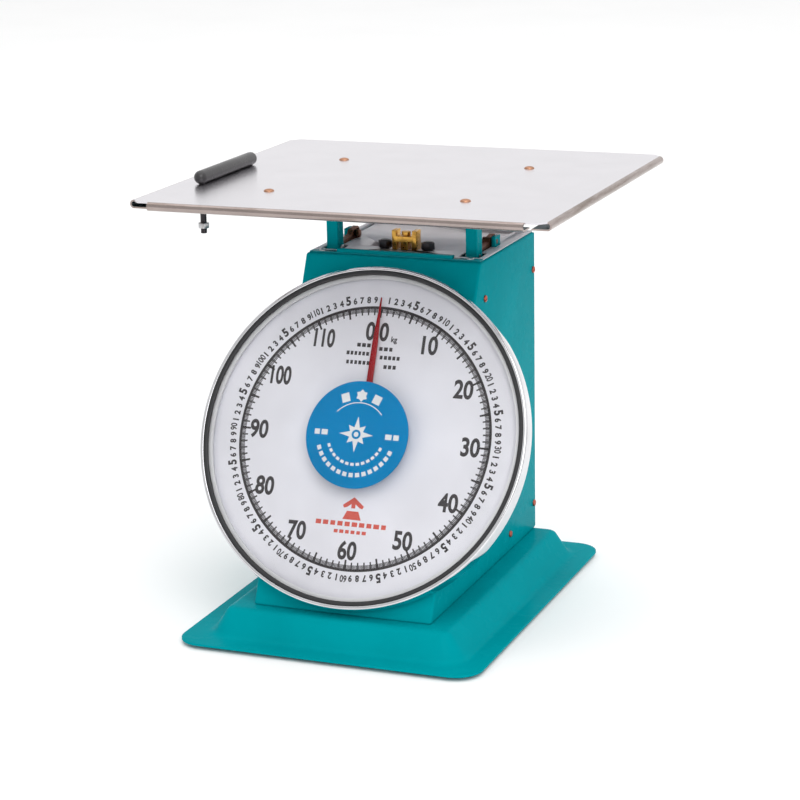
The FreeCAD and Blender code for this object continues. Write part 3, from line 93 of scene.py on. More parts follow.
class Nodes:
    """Short names for building one material's node tree."""

    def __init__(self, name):
        self.material = bpy.data.materials.new(name)
        self.material.use_nodes = True
        self.tree = self.material.node_tree
        self.surface = self.tree.nodes["Principled BSDF"]
        self.coords = self.add("ShaderNodeTexCoord").outputs["Object"]

    def add(self, kind, **settings):
        made = self.tree.nodes.new(kind)
        for key, value in settings.items():
            setattr(made, key, value)
        return made

    def join(self, source, target):
        self.tree.links.new(source, target)

    def stretched(self, scale):
        mapping = self.add("ShaderNodeMapping")
        mapping.inputs["Scale"].default_value = scale
        self.join(self.coords, mapping.inputs["Vector"])
        return mapping.outputs["Vector"]

    def noise(self, scale, detail=3.0, roughness=0.55, stretch=(1, 1, 1)):
        made = self.add("ShaderNodeTexNoise")
        made.inputs["Scale"].default_value = scale
        made.inputs["Detail"].default_value = detail
        made.inputs["Roughness"].default_value = roughness
        self.join(self.stretched(stretch), made.inputs["Vector"])
        return made.outputs["Fac"]

    def ramp(self, source, low, high, start=0.3, end=0.7):
        """Maps a 0 to 1 value between two numbers."""
        made = self.add("ShaderNodeMapRange")
        limits = {"From Min": start, "From Max": end, "To Min": low, "To Max": high}
        for socket, value in limits.items():
            made.inputs[socket].default_value = value
        self.join(source, made.inputs["Value"])
        return made.outputs["Result"]

    def tint(self, source, low, high, start=0.3, end=0.7):
        """Maps a 0 to 1 value between two colours."""
        made = self.add("ShaderNodeValToRGB")
        for element, place, colour in zip(made.color_ramp.elements, (start, end), (low, high)):
            element.position = place
            element.color = (*colour, 1)
        self.join(source, made.inputs["Fac"])
        return made.outputs["Color"]

    def mottled(self, colour, dull, bright, scale, detail=4):
        """One colour that drifts between a darker and a lighter shade of itself."""
        shades = [tuple(min(1.0, c * factor) for c in colour) for factor in (dull, bright)]
        return self.tint(self.noise(scale, detail), *shades)

    def blended(self, first, second, factor):
        """Mixes two colours, each a socket or a plain RGBA value."""
        made = self.add("ShaderNodeMix", data_type="RGBA")
        self.join(factor, made.inputs["Factor"])
        # a mix node has its colour sockets after those for numbers and vectors
        first_colour, second_colour, mixed = made.inputs[6], made.inputs[7], made.outputs[2]
        self.fill(first_colour, first)
        self.fill(second_colour, second)
        return mixed

    def bump(self, source, distance, strength=1.0):
        made = self.add("ShaderNodeBump")
        made.inputs["Distance"].default_value = distance
        made.inputs["Strength"].default_value = strength
        self.join(source, made.inputs["Height"])
        self.join(made.outputs["Normal"], self.surface.inputs["Normal"])

    def fill(self, socket, value):
        """Feeds an input from another socket, or sets its plain value."""
        if hasattr(value, "links"):
            self.join(value, socket)
        else:
            socket.default_value = value

    def set(self, **values):
        """Fills inputs of the main shader, named with _ for a space."""
        for key, value in values.items():
            self.fill(self.surface.inputs[key.replace("_", " ")], value)


ORANGE_PEEL = 0.06 * MM


def enamel(name, colour, roughness=(0.20, 0.32), gloss=1.5, wear=None):
    """Sprayed paint: uneven colour and sheen, orange peel, and fine scuffs where it is worn."""
    n = Nodes(name)
    tint = n.mottled(colour, 0.92, 1.06, 14)
    if wear:
        scuffs = n.ramp(n.noise(26, 9, 0.72, (1, 3.5, 1.6)), 0.0, 1.0, 0.66, 0.80)
        tint = n.blended(tint, (*wear, 1), scuffs)
    n.set(Base_Color=tint, Roughness=n.ramp(n.noise(55, 4), *roughness), IOR=gloss)
    n.bump(n.noise(420, 2), ORANGE_PEEL, 0.35)
    return n.material


def metal(name, colour, roughness, stretch=(1, 1, 1), scale=240, depth=0.02 * MM, spots=None,
          spot_scale=170, spot_stretch=(1, 1, 1), uneven=(0.86, 1.08)):
    """Bare or plated metal: grain along one direction and uneven sheen."""
    n = Nodes(name)
    tint = n.mottled(colour, *uneven, 30, 5)
    if spots:
        patches = n.noise(spot_scale, 6, 0.7, spot_stretch)
        tint = n.blended(tint, (*spots, 1), n.ramp(patches, 0.0, 1.0, 0.52, 0.70))
    n.set(Base_Color=tint, Metallic=1.0)
    grain = n.noise(scale, 4, 0.6, stretch)
    n.set(Roughness=n.ramp(grain, *roughness))
    n.bump(grain, depth, 0.5)
    return n.material


def plastic(name, colour, roughness=(0.35, 0.5), bump=0.04 * MM, scale=300, gloss=1.5):
    """Moulded plastic, rubber or ink: slightly uneven colour over a fine grain."""
    n = Nodes(name)
    tint = n.mottled(colour, 0.92, 1.05, 25)
    n.set(Base_Color=tint, Roughness=n.ramp(n.noise(90, 4), *roughness), IOR=gloss)
    n.bump(n.noise(scale, 3), bump, 0.5)
    return n.material


def clear_cover():
    """Thin clear plastic: see-through, with faint hazy patches and a soft sheen."""
    n = Nodes("clear_cover")
    see_through = n.add("ShaderNodeBsdfTransparent")
    mix = n.add("ShaderNodeMixShader")
    fresnel = n.add("ShaderNodeFresnel")
    fresnel.inputs["IOR"].default_value = 1.25
    gloss = n.add("ShaderNodeBsdfGlossy")
    n.join(n.ramp(n.noise(18, 5), 0.03, 0.09), gloss.inputs["Roughness"])
    n.join(fresnel.outputs["Fac"], mix.inputs["Fac"])
    n.join(see_through.outputs["BSDF"], mix.inputs[1])
    n.join(gloss.outputs["BSDF"], mix.inputs[2])
    n.join(mix.outputs["Shader"], n.tree.nodes["Material Output"].inputs["Surface"])
    return n.material


TEAL = (0.0, 0.275, 0.315)
PALE = (0.68, 0.63, 0.66)


def cover_paint(node, border):
    """Pale paint, with the housing's teal along the front edge."""
    low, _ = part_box(node)
    n = Nodes("cover_paint")
    place = n.add("ShaderNodeSeparateXYZ")
    n.join(n.coords, place.inputs[0])
    front = n.add("ShaderNodeMath", operation="LESS_THAN")
    n.join(place.outputs["Y"], front.inputs[0])
    front.inputs[1].default_value = low.y + border
    tint = n.blended(n.mottled(PALE, 0.92, 1.06, 14), (*TEAL, 1), front.outputs[0])
    n.set(Base_Color=tint, Roughness=n.ramp(n.noise(55, 4), 0.30, 0.44), IOR=1.3)
    n.bump(n.noise(420, 2), ORANGE_PEEL, 0.35)
    return n.material


LOOKS = {
    "teal_paint": enamel("teal_paint", TEAL, gloss=1.04, wear=(0.03, 0.33, 0.37)),
    "pale_steel": enamel("pale_steel", PALE, (0.28, 0.42), 1.4, (0.40, 0.36, 0.36)),
    "cover_paint": cover_paint("top_cover", 6.5 * MM),
    "dark_paint": enamel("dark_paint", (0.03, 0.045, 0.05), (0.3, 0.4), 1.3),
    "white_dial": enamel("white_dial", (0.80, 0.80, 0.85), (0.40, 0.50), 1.25),
    "white_plastic": plastic("white_plastic", (0.77, 0.775, 0.79), gloss=1.3),
    "black_rubber": plastic("black_rubber", (0.018, 0.018, 0.02), (0.42, 0.62), 0.12 * MM, 500),
    "grip_rubber": plastic("grip_rubber", (0.030, 0.028, 0.030), (0.24, 0.34), 0.10 * MM, 500),
    "plain_steel": metal(
        "plain_steel", (0.50, 0.50, 0.51), (0.24, 0.40), spots=(0.30, 0.27, 0.24)
    ),
    "dark_steel": metal("dark_steel", (0.06, 0.055, 0.06), (0.30, 0.5)),
    "brown_steel": metal(
        "brown_steel", (0.16, 0.065, 0.035), (0.34, 0.55), spots=(0.05, 0.03, 0.02)
    ),
    "stainless_plate": metal(
        "stainless_plate", (0.70, 0.68, 0.715), (0.22, 0.27), (1, 26, 1), 130, 0.006 * MM,
        uneven=(0.975, 1.015),
    ),
    # the rims' steel is darker and brownish, with large dark brown patches stretched along them: painted
    # reflection of dark surroundings on the polished roll, not stains
    "stainless_rim": metal(
        "stainless_rim", (0.37, 0.31, 0.29), (0.16, 0.28), (3, 3, 60), 60, 0.01 * MM,
        spots=(0.15, 0.10, 0.07), spot_scale=16, spot_stretch=(0.6, 0.6, 9),
    ),
    "copper_rivet": metal(
        "copper_rivet", (0.46, 0.24, 0.15), (0.38, 0.50), spots=(0.3, 0.17, 0.10)
    ),
    "copper_screw": metal(
        "copper_screw", (0.52, 0.13, 0.09), (0.35, 0.50), spots=(0.30, 0.10, 0.07)
    ),
    "brass": metal("brass", (0.68, 0.38, 0.08), (0.22, 0.38), spots=(0.40, 0.20, 0.05)),
    "chrome": metal("chrome", (0.72, 0.72, 0.74), (0.03, 0.09), depth=0.004 * MM),
    "blue_disc": plastic("blue_disc", (0.0, 0.225, 0.50), (0.45, 0.55), gloss=1.05),
    "red_paint": enamel("red_paint", (0.34, 0.004, 0.01), (0.35, 0.45), 1.3),
    "black_ink": plastic("black_ink", (0.035, 0.030, 0.033), (0.45, 0.6)),
    "red_ink": plastic("red_ink", (0.66, 0.10, 0.07), (0.45, 0.6)),
    "white_ink": plastic("white_ink", (0.78, 0.79, 0.79), (0.4, 0.55)),
    "clear_cover": clear_cover(),
}


# ---------------------------------------------------------------- making pieces


def linked(name, data):
    """A new object in the scene that shows this mesh, curve, light or camera."""
    obj = bpy.data.objects.new(name, data)
    bpy.context.scene.collection.objects.link(obj)
    return obj


def mesh_of(name, verts, faces):
    """A new mesh of these points and faces."""
    mesh = bpy.data.meshes.new(name)
    mesh.from_pydata([tuple(v) for v in verts], [], faces)
    return mesh


def read_back(obj, *tools):
    """The finished vertices and faces of a working object, which is removed with its tools."""
    result = bpy.data.meshes.new_from_object(
        obj.evaluated_get(bpy.context.evaluated_depsgraph_get())
    )
    part = [v.co.copy() for v in result.vertices], [tuple(p.vertices) for p in result.polygons]
    for used in (obj, *tools):
        bpy.data.objects.remove(used)
    return part


def make(name, verts, faces, body, looks, replaces=(), smooth=35, matrix=None, face_looks=None):
    """A mesh piece, riding on a body if one is named.

    looks is one name from LOOKS, or several, and then face_looks picks one for each face.
    """
    mesh = mesh_of(name, verts, faces)
    if matrix:
        mesh.transform(matrix)
    work = bmesh.new()
    work.from_mesh(mesh)
    bmesh.ops.recalc_face_normals(work, faces=work.faces)
    work.to_mesh(mesh)
    work.free()
    obj = linked(name, mesh)
    for look in [looks] if isinstance(looks, str) else looks:
        mesh.materials.append(LOOKS[look])
    if face_looks:
        mesh.polygons.foreach_set("material_index", face_looks)
    mesh.shade_smooth()
    mesh.set_sharp_from_angle(angle=math.radians(smooth))
    if body:
        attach(obj, body)
    if replaces:
        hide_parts(*replaces)
    return obj


def loft(rings, close_ends=False):
    """Vertices and faces between equal closed rings of points, in order."""
    count = len(rings[0])
    verts = [p for ring in rings for p in ring]
    faces = []
    spans = len(rings) if close_ends else len(rings) - 1
    for i in range(spans):
        a, b = i * count, ((i + 1) % len(rings)) * count
        for j in range(count):
            k = (j + 1) % count
            faces.append((a + j, a + k, b + k, b + j))
    return verts, faces


def capped(rings):
    """A loft whose first and last rings are closed by flat faces, which come last."""
    verts, faces = loft(rings)
    count = len(rings[0])
    faces += [tuple(range(count))[::-1], tuple(range(len(verts) - count, len(verts)))]
    return verts, faces


def circle(radius, z, steps):
    """Points round a level circle about the Z axis."""
    angles = [math.tau * k / steps for k in range(steps)]
    return [(radius * math.cos(a), radius * math.sin(a), z) for a in angles]


def turn(profile, steps):
    """Turns a closed outline of (radius, height) points about the Z axis."""
    rings = []
    for i in range(steps):
        angle = math.tau * i / steps
        c, s = math.cos(angle), math.sin(angle)
        rings.append([(r * c, r * s, z) for r, z in profile])
    return loft(rings, close_ends=True)


def arc(centre, radius, start, end, steps=8):
    """Points along an arc in a profile, angles in degrees."""
    found = []
    for i in range(steps + 1):
        angle = math.radians(start + (end - start) * i / steps)
        found.append(
            (centre[0] + radius * math.cos(angle), centre[1] + radius * math.sin(angle))
        )
    return found


def merge(parts):
    """Joins several (verts, faces) lists into one."""
    verts, faces = [], []
    for more_verts, more_faces in parts:
        start = len(verts)
        verts += list(more_verts)
        faces += [tuple(i + start for i in face) for face in more_faces]
    return verts, faces


def moved(part, matrix):
    """The same faces with their points put through a matrix."""
    verts, faces = part
    return [matrix @ Vector(v) for v in verts], faces


WELD_REACH = 0.004 * MM


def finish_node(name, look, bevel):
    """Gives a CAD node its material and softly broken edges."""
    obj = NODES[name]
    obj.data.materials.clear()
    obj.data.materials.append(LOOKS[look])
    obj.data.shade_smooth()
    weld = obj.modifiers.new("weld", "WELD")
    weld.merge_threshold = WELD_REACH
    edge = obj.modifiers.new("edge", "BEVEL")
    edge.width = bevel
    edge.segments = 2
    edge.limit_method = "ANGLE"
    edge.angle_limit = math.radians(32)
    edge.harden_normals = True
    edge.use_clamp_overlap = True


# ---------------------------------------------------------------- base tray


def rounded_ring(half_x, half_y, middle_y, corner, z, steps=8):
    """Points round a rounded rectangle, counter-clockwise from the right side."""
    points = []
    for i, (sx, sy) in enumerate(((1, 1), (-1, 1), (-1, -1), (1, -1))):
        cx, cy = sx * (half_x - corner), middle_y + sy * (half_y - corner)
        for x, y in arc((cx, cy), corner, 90 * i, 90 * i + 90, steps):
            points.append((x, y, z))
    return points


def between(a, b, t):
    """The list of numbers that lies a share t of the way from a to b."""
    return tuple(p + (q - p) * t for p, q in zip(a, b))


def folded(keys, softness, steps=6):
    """Replaces each inner key of a path of number lists by a smooth bend."""
    path = [keys[0]]
    for i in range(1, len(keys) - 1):
        before, after = softness[i - 1]
        start = between(keys[i], keys[i - 1], before)
        end = between(keys[i], keys[i + 1], after)
        for j in range(steps + 1):
            t = j / steps
            path.append(between(between(start, keys[i], t), between(keys[i], end, t), t))
    path.append(keys[-1])
    return path


def base_tray():
    """Pressed tray with soft folds, hollow underneath."""
    low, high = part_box("base_tray")
    sheet, slope_run, opening, corner = 1.5 * MM, 14 * MM, 9 * MM, 20 * MM
    _, half_x, front, back = at_height("base_tray", high.z)
    middle, half_y = (front + back) / 2, (back - front) / 2
    centre, outer_x, outer_y = (low.y + high.y) / 2, high.x, (high.y - low.y) / 2
    slope = slope_run * (high.z - low.z - sheet) / (high.z - low.z)
    flange_z = low.z + sheet
    inside = (half_x - opening, half_y - opening, middle, 2 * MM, high.z)
    plateau = (half_x, half_y, middle, 5 * MM, high.z)
    foot = (half_x + slope, half_y + slope, middle, corner - MM, flange_z)
    rim = (outer_x, outer_y, centre, corner, flange_z)
    edge = (outer_x, outer_y, centre, corner, low.z)
    softness = [(0.45, 0.16), (0.16, 0.28), (0.025, 0.22)]
    upper = folded([inside, plateau, foot, rim, edge], softness)

    def lowered(ring, inset):
        x, y, at_y, radius, z = ring
        return x - inset, y - inset, at_y, max(radius - inset, MM), z - sheet

    under_keys = [
        lowered(inside, 0),
        lowered(plateau, 0.8 * MM),
        lowered(foot, 0.8 * MM),
        (outer_x - 0.3 * MM, outer_y - 0.3 * MM, centre, corner, low.z),
    ]
    under = folded(under_keys, softness[:2])
    part = capped([rounded_ring(*ring) for ring in upper + under[::-1]])
    make("pressed_tray", *part, "frame", "teal_paint", ["base_tray"], 50)


# ---------------------------------------------------------------- housing


def housing():
    """Folded sheet housing with soft upright folds and a flange turned in at the top."""
    low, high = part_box("housing_shell")
    foot_front = at_height("housing_shell", low.z)[2]
    head_front = at_height("housing_shell", high.z)[2]
    lean = (head_front - foot_front) / (high.z - low.z)

    def ring(z, inset, corner):
        front = foot_front + lean * (z - low.z) + inset
        back = high.y - inset
        return rounded_ring(high.x - inset, (back - front) / 2, (back + front) / 2, corner, z)

    bend, flange, sheet, fold = 1.6 * MM, 5.5 * MM, 1.2 * MM, 2.2 * MM
    outside = arc((bend, low.z + bend), bend, 270, 180, 5)
    outside += arc((bend, high.z - bend), bend, 180, 90, 5)
    rings = [ring(z, inset, fold) for inset, z in outside]
    rings.append(ring(high.z, flange, MM))
    rings.append(ring(high.z - sheet, flange, MM))
    rings.append(ring(high.z - sheet, bend, sheet))
    rings.append(ring(low.z + 0.1 * MM, bend, sheet))
    make("folded_housing", *loft(rings), "frame", "teal_paint", ["housing_shell"], 45)


# ---------------------------------------------------------------- screws and rivets


def dome(radius, height, steps=24, rows=5, skirt=0.0):
    """A domed head standing on the XY plane, with an optional straight skirt."""
    profile = [(radius, 0.0)] if skirt else []
    for i in range(rows + 1):
        t = i / rows * math.pi / 2
        profile.append((radius * math.cos(t), skirt + (height - skirt) * math.sin(t)))
    verts, faces = loft([circle(r, z, steps) for r, z in profile[:-1]])
    top = len(verts)
    verts.append((0, 0, height))
    last = top - steps
    faces += [(last + k, last + (k + 1) % steps, top) for k in range(steps)]
    return verts, faces


def slotted(radius, height, slot_width, steps=32):
    """A low pan head with a straight screwdriver slot, standing on the XY plane."""
    verts, faces = dome(radius, height, steps, 6, height * 0.35)
    head = linked("head", mesh_of("head", verts, faces + [tuple(range(steps))[::-1]]))
    reach, side = radius * 1.5, slot_width / 2
    corners = [(-reach, -side), (reach, -side), (reach, side), (-reach, side)]
    levels = (height * 0.55, height * 1.55)
    block = capped([[(x, y, z) for x, y in corners] for z in levels])
    slot = linked("slot", mesh_of("slot", *block))
    cut = head.modifiers.new("cut", "BOOLEAN")
    cut.object = slot
    cut.solver = "EXACT"
    return read_back(head, slot)


def heads_on(screws, axis, radius, height, slot_width):
    """One slotted head at the outer end of each screw's box, facing out along the axis."""
    head = slotted(radius, height, slot_width)
    parts = []
    for low, high in screws:
        seat = (low + high) / 2
        out = Vector((0, 0, 0))
        out[axis] = -1 if axis == 0 and seat.x < 0 else 1
        end = high if out[axis] > 0 else low
        seat[axis] = end[axis] - out[axis] * height
        spin = Matrix.Rotation(DICE.uniform(0, math.pi), 4, "Z")
        turned = out.to_track_quat("Z", "Y").to_matrix().to_4x4()
        parts.append(moved(head, Matrix.Translation(seat) @ turned @ spin))
    return parts


def solids(node):
    """The box of each separate solid of a node, found by joining touching vertices."""
    mesh = NODES[node].data
    work = bmesh.new()
    work.from_mesh(mesh)
    bmesh.ops.remove_doubles(work, verts=work.verts, dist=WELD_REACH)
    seen, boxes = set(), []
    for start in work.verts:
        if start in seen:
            continue
        stack, group = [start], []
        seen.add(start)
        while stack:
            v = stack.pop()
            group.append(v.co.copy())
            for e in v.link_edges:
                other = e.other_vert(v)
                if other not in seen:
                    seen.add(other)
                    stack.append(other)
        boxes.append(
            (Vector([min(p[i] for p in group) for i in range(3)]),
             Vector([max(p[i] for p in group) for i in range(3)]))
        )
    work.free()
    return boxes


def screw_heads():
    """Slotted heads on the screws of the housing's sides, rear lid and top cover."""
    side = heads_on(solids("side_screws"), 0, 2.7 * MM, 1.8 * MM, 0.7 * MM)
    make("side_screw_heads", *merge(side), "frame", "copper_screw", ["side_screws"], 40)
    screws, head_across = solids("cover_screws"), 7 * MM
    rear = [(low, high) for low, high in screws if high.y - low.y > head_across]
    upper = [(low, high) for low, high in screws if high.y - low.y <= head_across]
    heads = heads_on(rear, 1, 3.2 * MM, 2.0 * MM, 0.8 * MM)
    heads += heads_on(upper, 2, 3.0 * MM, 1.6 * MM, 0.8 * MM)
    make("cover_screw_heads", *merge(heads), "frame", "plain_steel", ["cover_screws"], 40)


# ---------------------------------------------------------------- dial


SEAL_INSIDE = 123.4 * MM
RING_INSIDE = 123.6 * MM
BEZEL_INSIDE = 126.8 * MM
DOME_RADIUS = 121 * MM
GLASS_THICKNESS = 2 * MM


def dial_case():
    """Drum, white spacer ring, seal, and rolled chrome bezel."""
    _, drum_r, _, drum_high = dial_span("dial_drum")
    _, bezel_r, bezel_low, bezel_high = dial_span("bezel")
    hem, bead, lip_r, play = 0.9 * MM, 1.9 * MM, 0.6 * MM, 0.2 * MM
    back_z = drum_high + 0.7 * MM
    profile = [(drum_r + play, bezel_low), (bezel_r - 0.5 * MM, bezel_low)]
    profile += arc((bezel_r - hem, bezel_low + hem), hem, -60, 0, 4)
    profile += arc((bezel_r - bead, bezel_high - bead), bead, 0, 90, 10)
    profile += arc((BEZEL_INSIDE + lip_r, bezel_high - lip_r), lip_r, 90, 200, 6)
    profile += [(BEZEL_INSIDE + play, back_z), (drum_r + play, back_z)]
    make("rolled_bezel", *turn(profile, 256), "frame", "chrome", ["bezel"], 50, DIAL)

    sheet, hole, wall, ledge = MM, 8 * MM, drum_r - MM, drum_r - 9 * MM
    ledge_low, ledge_high = 4.3 * MM, 5.3 * MM
    profile = [
        (hole, 0), (drum_r - 1.5 * MM, 0), (drum_r - 0.4 * MM, 0.4 * MM), (drum_r, 1.5 * MM),
        (drum_r, drum_high), (wall, drum_high), (wall, ledge_high), (ledge, ledge_high),
        (ledge, ledge_low), (wall, ledge_low), (wall, sheet), (hole, sheet),
    ]
    make("pressed_drum", *turn(profile, 192), "frame", "dark_paint", ["dial_drum"], 40, DIAL)

    _, seal_r, seal_low, seal_high = dial_span("bezel_seal")
    web, outer_roll, inner_roll = seal_low + 0.7 * MM, 0.8 * MM, 1.1 * MM
    lip_outside = BEZEL_INSIDE - 0.2 * MM
    profile = [(SEAL_INSIDE, seal_low), (seal_r, seal_low), (seal_r, web), (lip_outside, web)]
    profile += arc((lip_outside - outer_roll, seal_high - outer_roll), outer_roll, 0, 90, 5)
    profile += arc((SEAL_INSIDE + inner_roll, seal_high - inner_roll), inner_roll, 90, 180, 5)
    make("rubber_seal", *turn(profile, 192), "frame", "black_rubber", ["bezel_seal"], 40, DIAL)

    _, ring_r, ring_low, ring_high = dial_span("dial_spacer_ring")
    profile = [(ring_r, ring_low), (ring_r, ring_high), (RING_INSIDE, ring_high)]
    profile += arc((RING_INSIDE + 3.9 * MM, ring_low + 4.2 * MM), 6.9 * MM, 176, 215, 6)
    part = turn(profile, 192)
    make("white_ring", *part, "frame", "white_plastic", ["dial_spacer_ring"], 40, DIAL)

    _, plate_r, plate_low, plate_high = dial_span("dial_plate")
    hole = 5 * MM
    profile = [(hole, plate_low), (plate_r, plate_low), (plate_r, plate_high), (hole, plate_high)]
    make("printed_plate", *turn(profile, 192), "frame", "white_dial", ["dial_plate"], 40, DIAL)


def dome_height(radius, depth):
    """Height in the dial's frame of a surface that deep below the glass's outside."""
    _, _, low, top = dial_span("dial_glass")
    rise = top - low - GLASS_THICKNESS
    sphere = (DOME_RADIUS**2 + rise**2) / (2 * rise)
    return top - sphere + math.sqrt((sphere - depth) ** 2 - radius**2)


def glass():
    """Clear domed cover with a flat rim."""
    _, outer, low, _ = dial_span("dial_glass")
    radii = [DOME_RADIUS * i / 24 for i in range(1, 25)]
    profile = [(r, dome_height(r, GLASS_THICKNESS)) for r in radii[:-1]]
    profile += [(DOME_RADIUS - 0.4 * MM, low), (outer, low), (outer, low + GLASS_THICKNESS)]
    profile += [(r, dome_height(r, 0)) for r in radii[::-1]]
    part = capped([circle(r, z, 160) for r, z in profile])
    make("domed_cover", *part, "frame", "clear_cover", ["dial_glass"], 30, DIAL)


# ---------------------------------------------------------------- printed marks


def quad(cx, cy, width, height, angle=0.0):
    """A flat rectangle on the XY plane, turned about its own middle."""
    c, s = math.cos(angle), math.sin(angle)
    corners = [(-width / 2, -height / 2), (width / 2, -height / 2),
               (width / 2, height / 2), (-width / 2, height / 2)]
    return [(cx + x * c - y * s, cy + x * s + y * c, 0) for x, y in corners], [(0, 1, 2, 3)]


def band(radius, width, start=0.0, end=math.tau, steps=200):
    """A flat strip along an arc, angles clockwise from the top."""
    inner, outer = [], []
    for i in range(steps + 1):
        a = start + (end - start) * i / steps
        for r, ring in ((radius - width / 2, inner), (radius + width / 2, outer)):
            ring.append((r * math.sin(a), r * math.cos(a), 0))
    faces = [(i, i + 1, steps + 2 + i, steps + 1 + i) for i in range(steps)]
    return inner + outer, faces


def polygon(points):
    """A flat face through these points of the XY plane."""
    return [(x, y, 0) for x, y in points], [tuple(range(len(points)))]


def written(text, height, squeeze, weight):
    """Plain characters as flat faces, centred, that tall, narrowed and thickened."""
    curve = bpy.data.curves.new("text", "FONT")
    curve.body = text
    curve.offset = weight
    curve.resolution_u = 5
    points, faces = read_back(linked("text", curve))
    low_x, high_x = min(p.x for p in points), max(p.x for p in points)
    low_y, high_y = min(p.y for p in points), max(p.y for p in points)
    scale = height / (high_y - low_y)
    x, y = (low_x + high_x) / 2, (low_y + high_y) / 2
    return [((p.x - x) * scale * squeeze, (p.y - y) * scale, 0) for p in points], faces


def at(part, x, y, angle=0.0, z=0.0):
    """The part turned about the Z axis, then put there."""
    return moved(part, Matrix.Translation((x, y, z)) @ Matrix.Rotation(angle, 4, "Z"))


def polar(radius, clockwise):
    return radius * math.sin(clockwise), radius * math.cos(clockwise)


def word_bars(cx, cy, width, height, count):
    """A row of small blocks that stands for a line of small print."""
    step, filled = width / count, 0.78
    row = []
    for i in range(count):
        length = step * filled * DICE.uniform(0.8, 1.0)
        row.append(quad(cx - width / 2 + step * (i + 0.5), cy, length, height))
    return row


FULL_TURN_KG = 120
TICK_RADIUS = 100 * MM
FIGURE_RADIUS = 85 * MM
FIGURE_HEIGHT = 14.5 * MM
FIGURE_WEIGHT = 0.03


def scale_ring():
    """Ring line, ticks and the small figures outside it."""
    marks = [band(TICK_RADIUS - 0.3 * MM, 2.0 * MM, steps=240)]
    per_kg = 5
    for i in range(FULL_TURN_KG * per_kg):
        angle = math.tau * i / (FULL_TURN_KG * per_kg)
        if i % (5 * per_kg) == 0:
            length, width = 8.0 * MM, 1.5 * MM
        elif i % per_kg == 0:
            length, width = 6.2 * MM, 1.1 * MM
        else:
            length, width = 4.2 * MM, 0.7 * MM
        x, y = polar(TICK_RADIUS - length / 2, angle)
        marks.append(quad(x, y, width, length, -angle))
    digits = {d: written(d, 5.1 * MM, 0.9, 0.045) for d in "12345678"}
    digits["9"] = moved(digits["6"], Matrix.Rotation(math.pi, 4, "Z"))
    for kg in range(1, FULL_TURN_KG):
        angle = math.tau * kg / FULL_TURN_KG
        if kg % 10 == 0:
            part, outward = written(str(kg), 5.4 * MM, 0.78, FIGURE_WEIGHT), 6.2 * MM
        elif kg % 5 == 0:
            part, outward = moved(digits["5"], Matrix.Scale(1.4, 4)), 6.6 * MM
        else:
            part, outward = digits[str(kg % 10)], 5.6 * MM
        marks.append(at(part, *polar(TICK_RADIUS + outward, angle), -angle))
    return marks


def figures():
    """Large upright figures, one for each ten, with a split nought at the top."""
    marks = []
    for ten in range(1, FULL_TURN_KG // 10):
        angle = math.tau * ten * 10 / FULL_TURN_KG
        squeeze = 0.80 if ten < 10 else 0.66
        number = written(str(ten * 10), FIGURE_HEIGHT, squeeze, FIGURE_WEIGHT)
        marks.append(at(number, *polar(FIGURE_RADIUS, angle)))
    for x in (-6.2 * MM, 4.8 * MM):
        marks.append(at(written("0", FIGURE_HEIGHT, 0.78, FIGURE_WEIGHT), x, 81.3 * MM))
    marks.append(at(written("kg", 5.8 * MM, 0.9, FIGURE_WEIGHT), 13.6 * MM, 75.5 * MM))
    return marks


def small_print():
    """Rows of plain blocks under the nought, left and right of the needle, sizes in mm."""
    rows = ((-10, 70.3, 12, 3), (8, 68.3, 12, 3), (-14, 63.8, 19, 6), (12, 61.8, 17, 5),
            (-13, 56.8, 20, 6), (13, 54.8, 11, 3))
    marks = []
    for x, y, width, count in rows:
        marks += word_bars(x * MM, y * MM, width * MM, 2.9 * MM, count)
    return marks


def emblem():
    """A plain arrow over a weight, drawn in mm, and two rows of blocks."""
    arrow = [(0, 8.6), (8.4, 2.2), (7.4, 0.2), (5.0, 0.8), (1.6, 3.4), (1.6, 0.2), (-1.6, 0.2),
             (-1.6, 3.4), (-5.0, 0.8), (-7.4, 0.2), (-8.4, 2.2)]
    weight = [(-4.6, -2.0), (4.6, -2.0), (7.4, -8.4), (-7.4, -8.4)]
    place = Matrix.Translation((0, -53.6 * MM, 0)) @ Matrix.Scale(MM, 4)
    marks = [moved(polygon(shape), place) for shape in (arrow, weight)]
    marks += word_bars(0, -65.4 * MM, 58 * MM, 3.4 * MM, 10)
    marks += word_bars(0, -71.2 * MM, 27 * MM, 2.6 * MM, 6)
    return marks


def dial_marks():
    """Everything printed on the dial plate."""
    _, _, _, face = dial_span("dial_plate")
    lift = Matrix.Translation((0, 0, face + 0.03 * MM))
    black = scale_ring() + figures() + small_print()
    make("dial_print", *moved(merge(black), lift), "frame", "black_ink", matrix=DIAL)
    make("dial_print_red", *moved(merge(emblem()), lift), "frame", "red_ink", matrix=DIAL)


def medallion():
    """Blue disc behind the glass, with plain white marks."""
    _, radius, _, _ = dial_span("medallion")
    near, far, rows = 2.1 * MM, 3.1 * MM, 12
    radii = [radius * (i + 1) / rows for i in range(rows)]
    profile = [(r, dome_height(r, near)) for r in radii]
    profile += [(r, dome_height(r, far)) for r in radii[::-1]]
    part = capped([circle(r, z, 128) for r, z in profile])
    make("blue_medallion", *part, "frame", "blue_disc", ["medallion"], 35, DIAL)
    verts, faces = medallion_marks()
    lifted = []
    for x, y, _ in verts:
        x, y = x * MM, y * MM
        lifted.append((x, y, dome_height(math.hypot(x, y), near - 0.05 * MM)))
    make("medallion_marks", lifted, faces, "frame", "white_ink", matrix=DIAL)


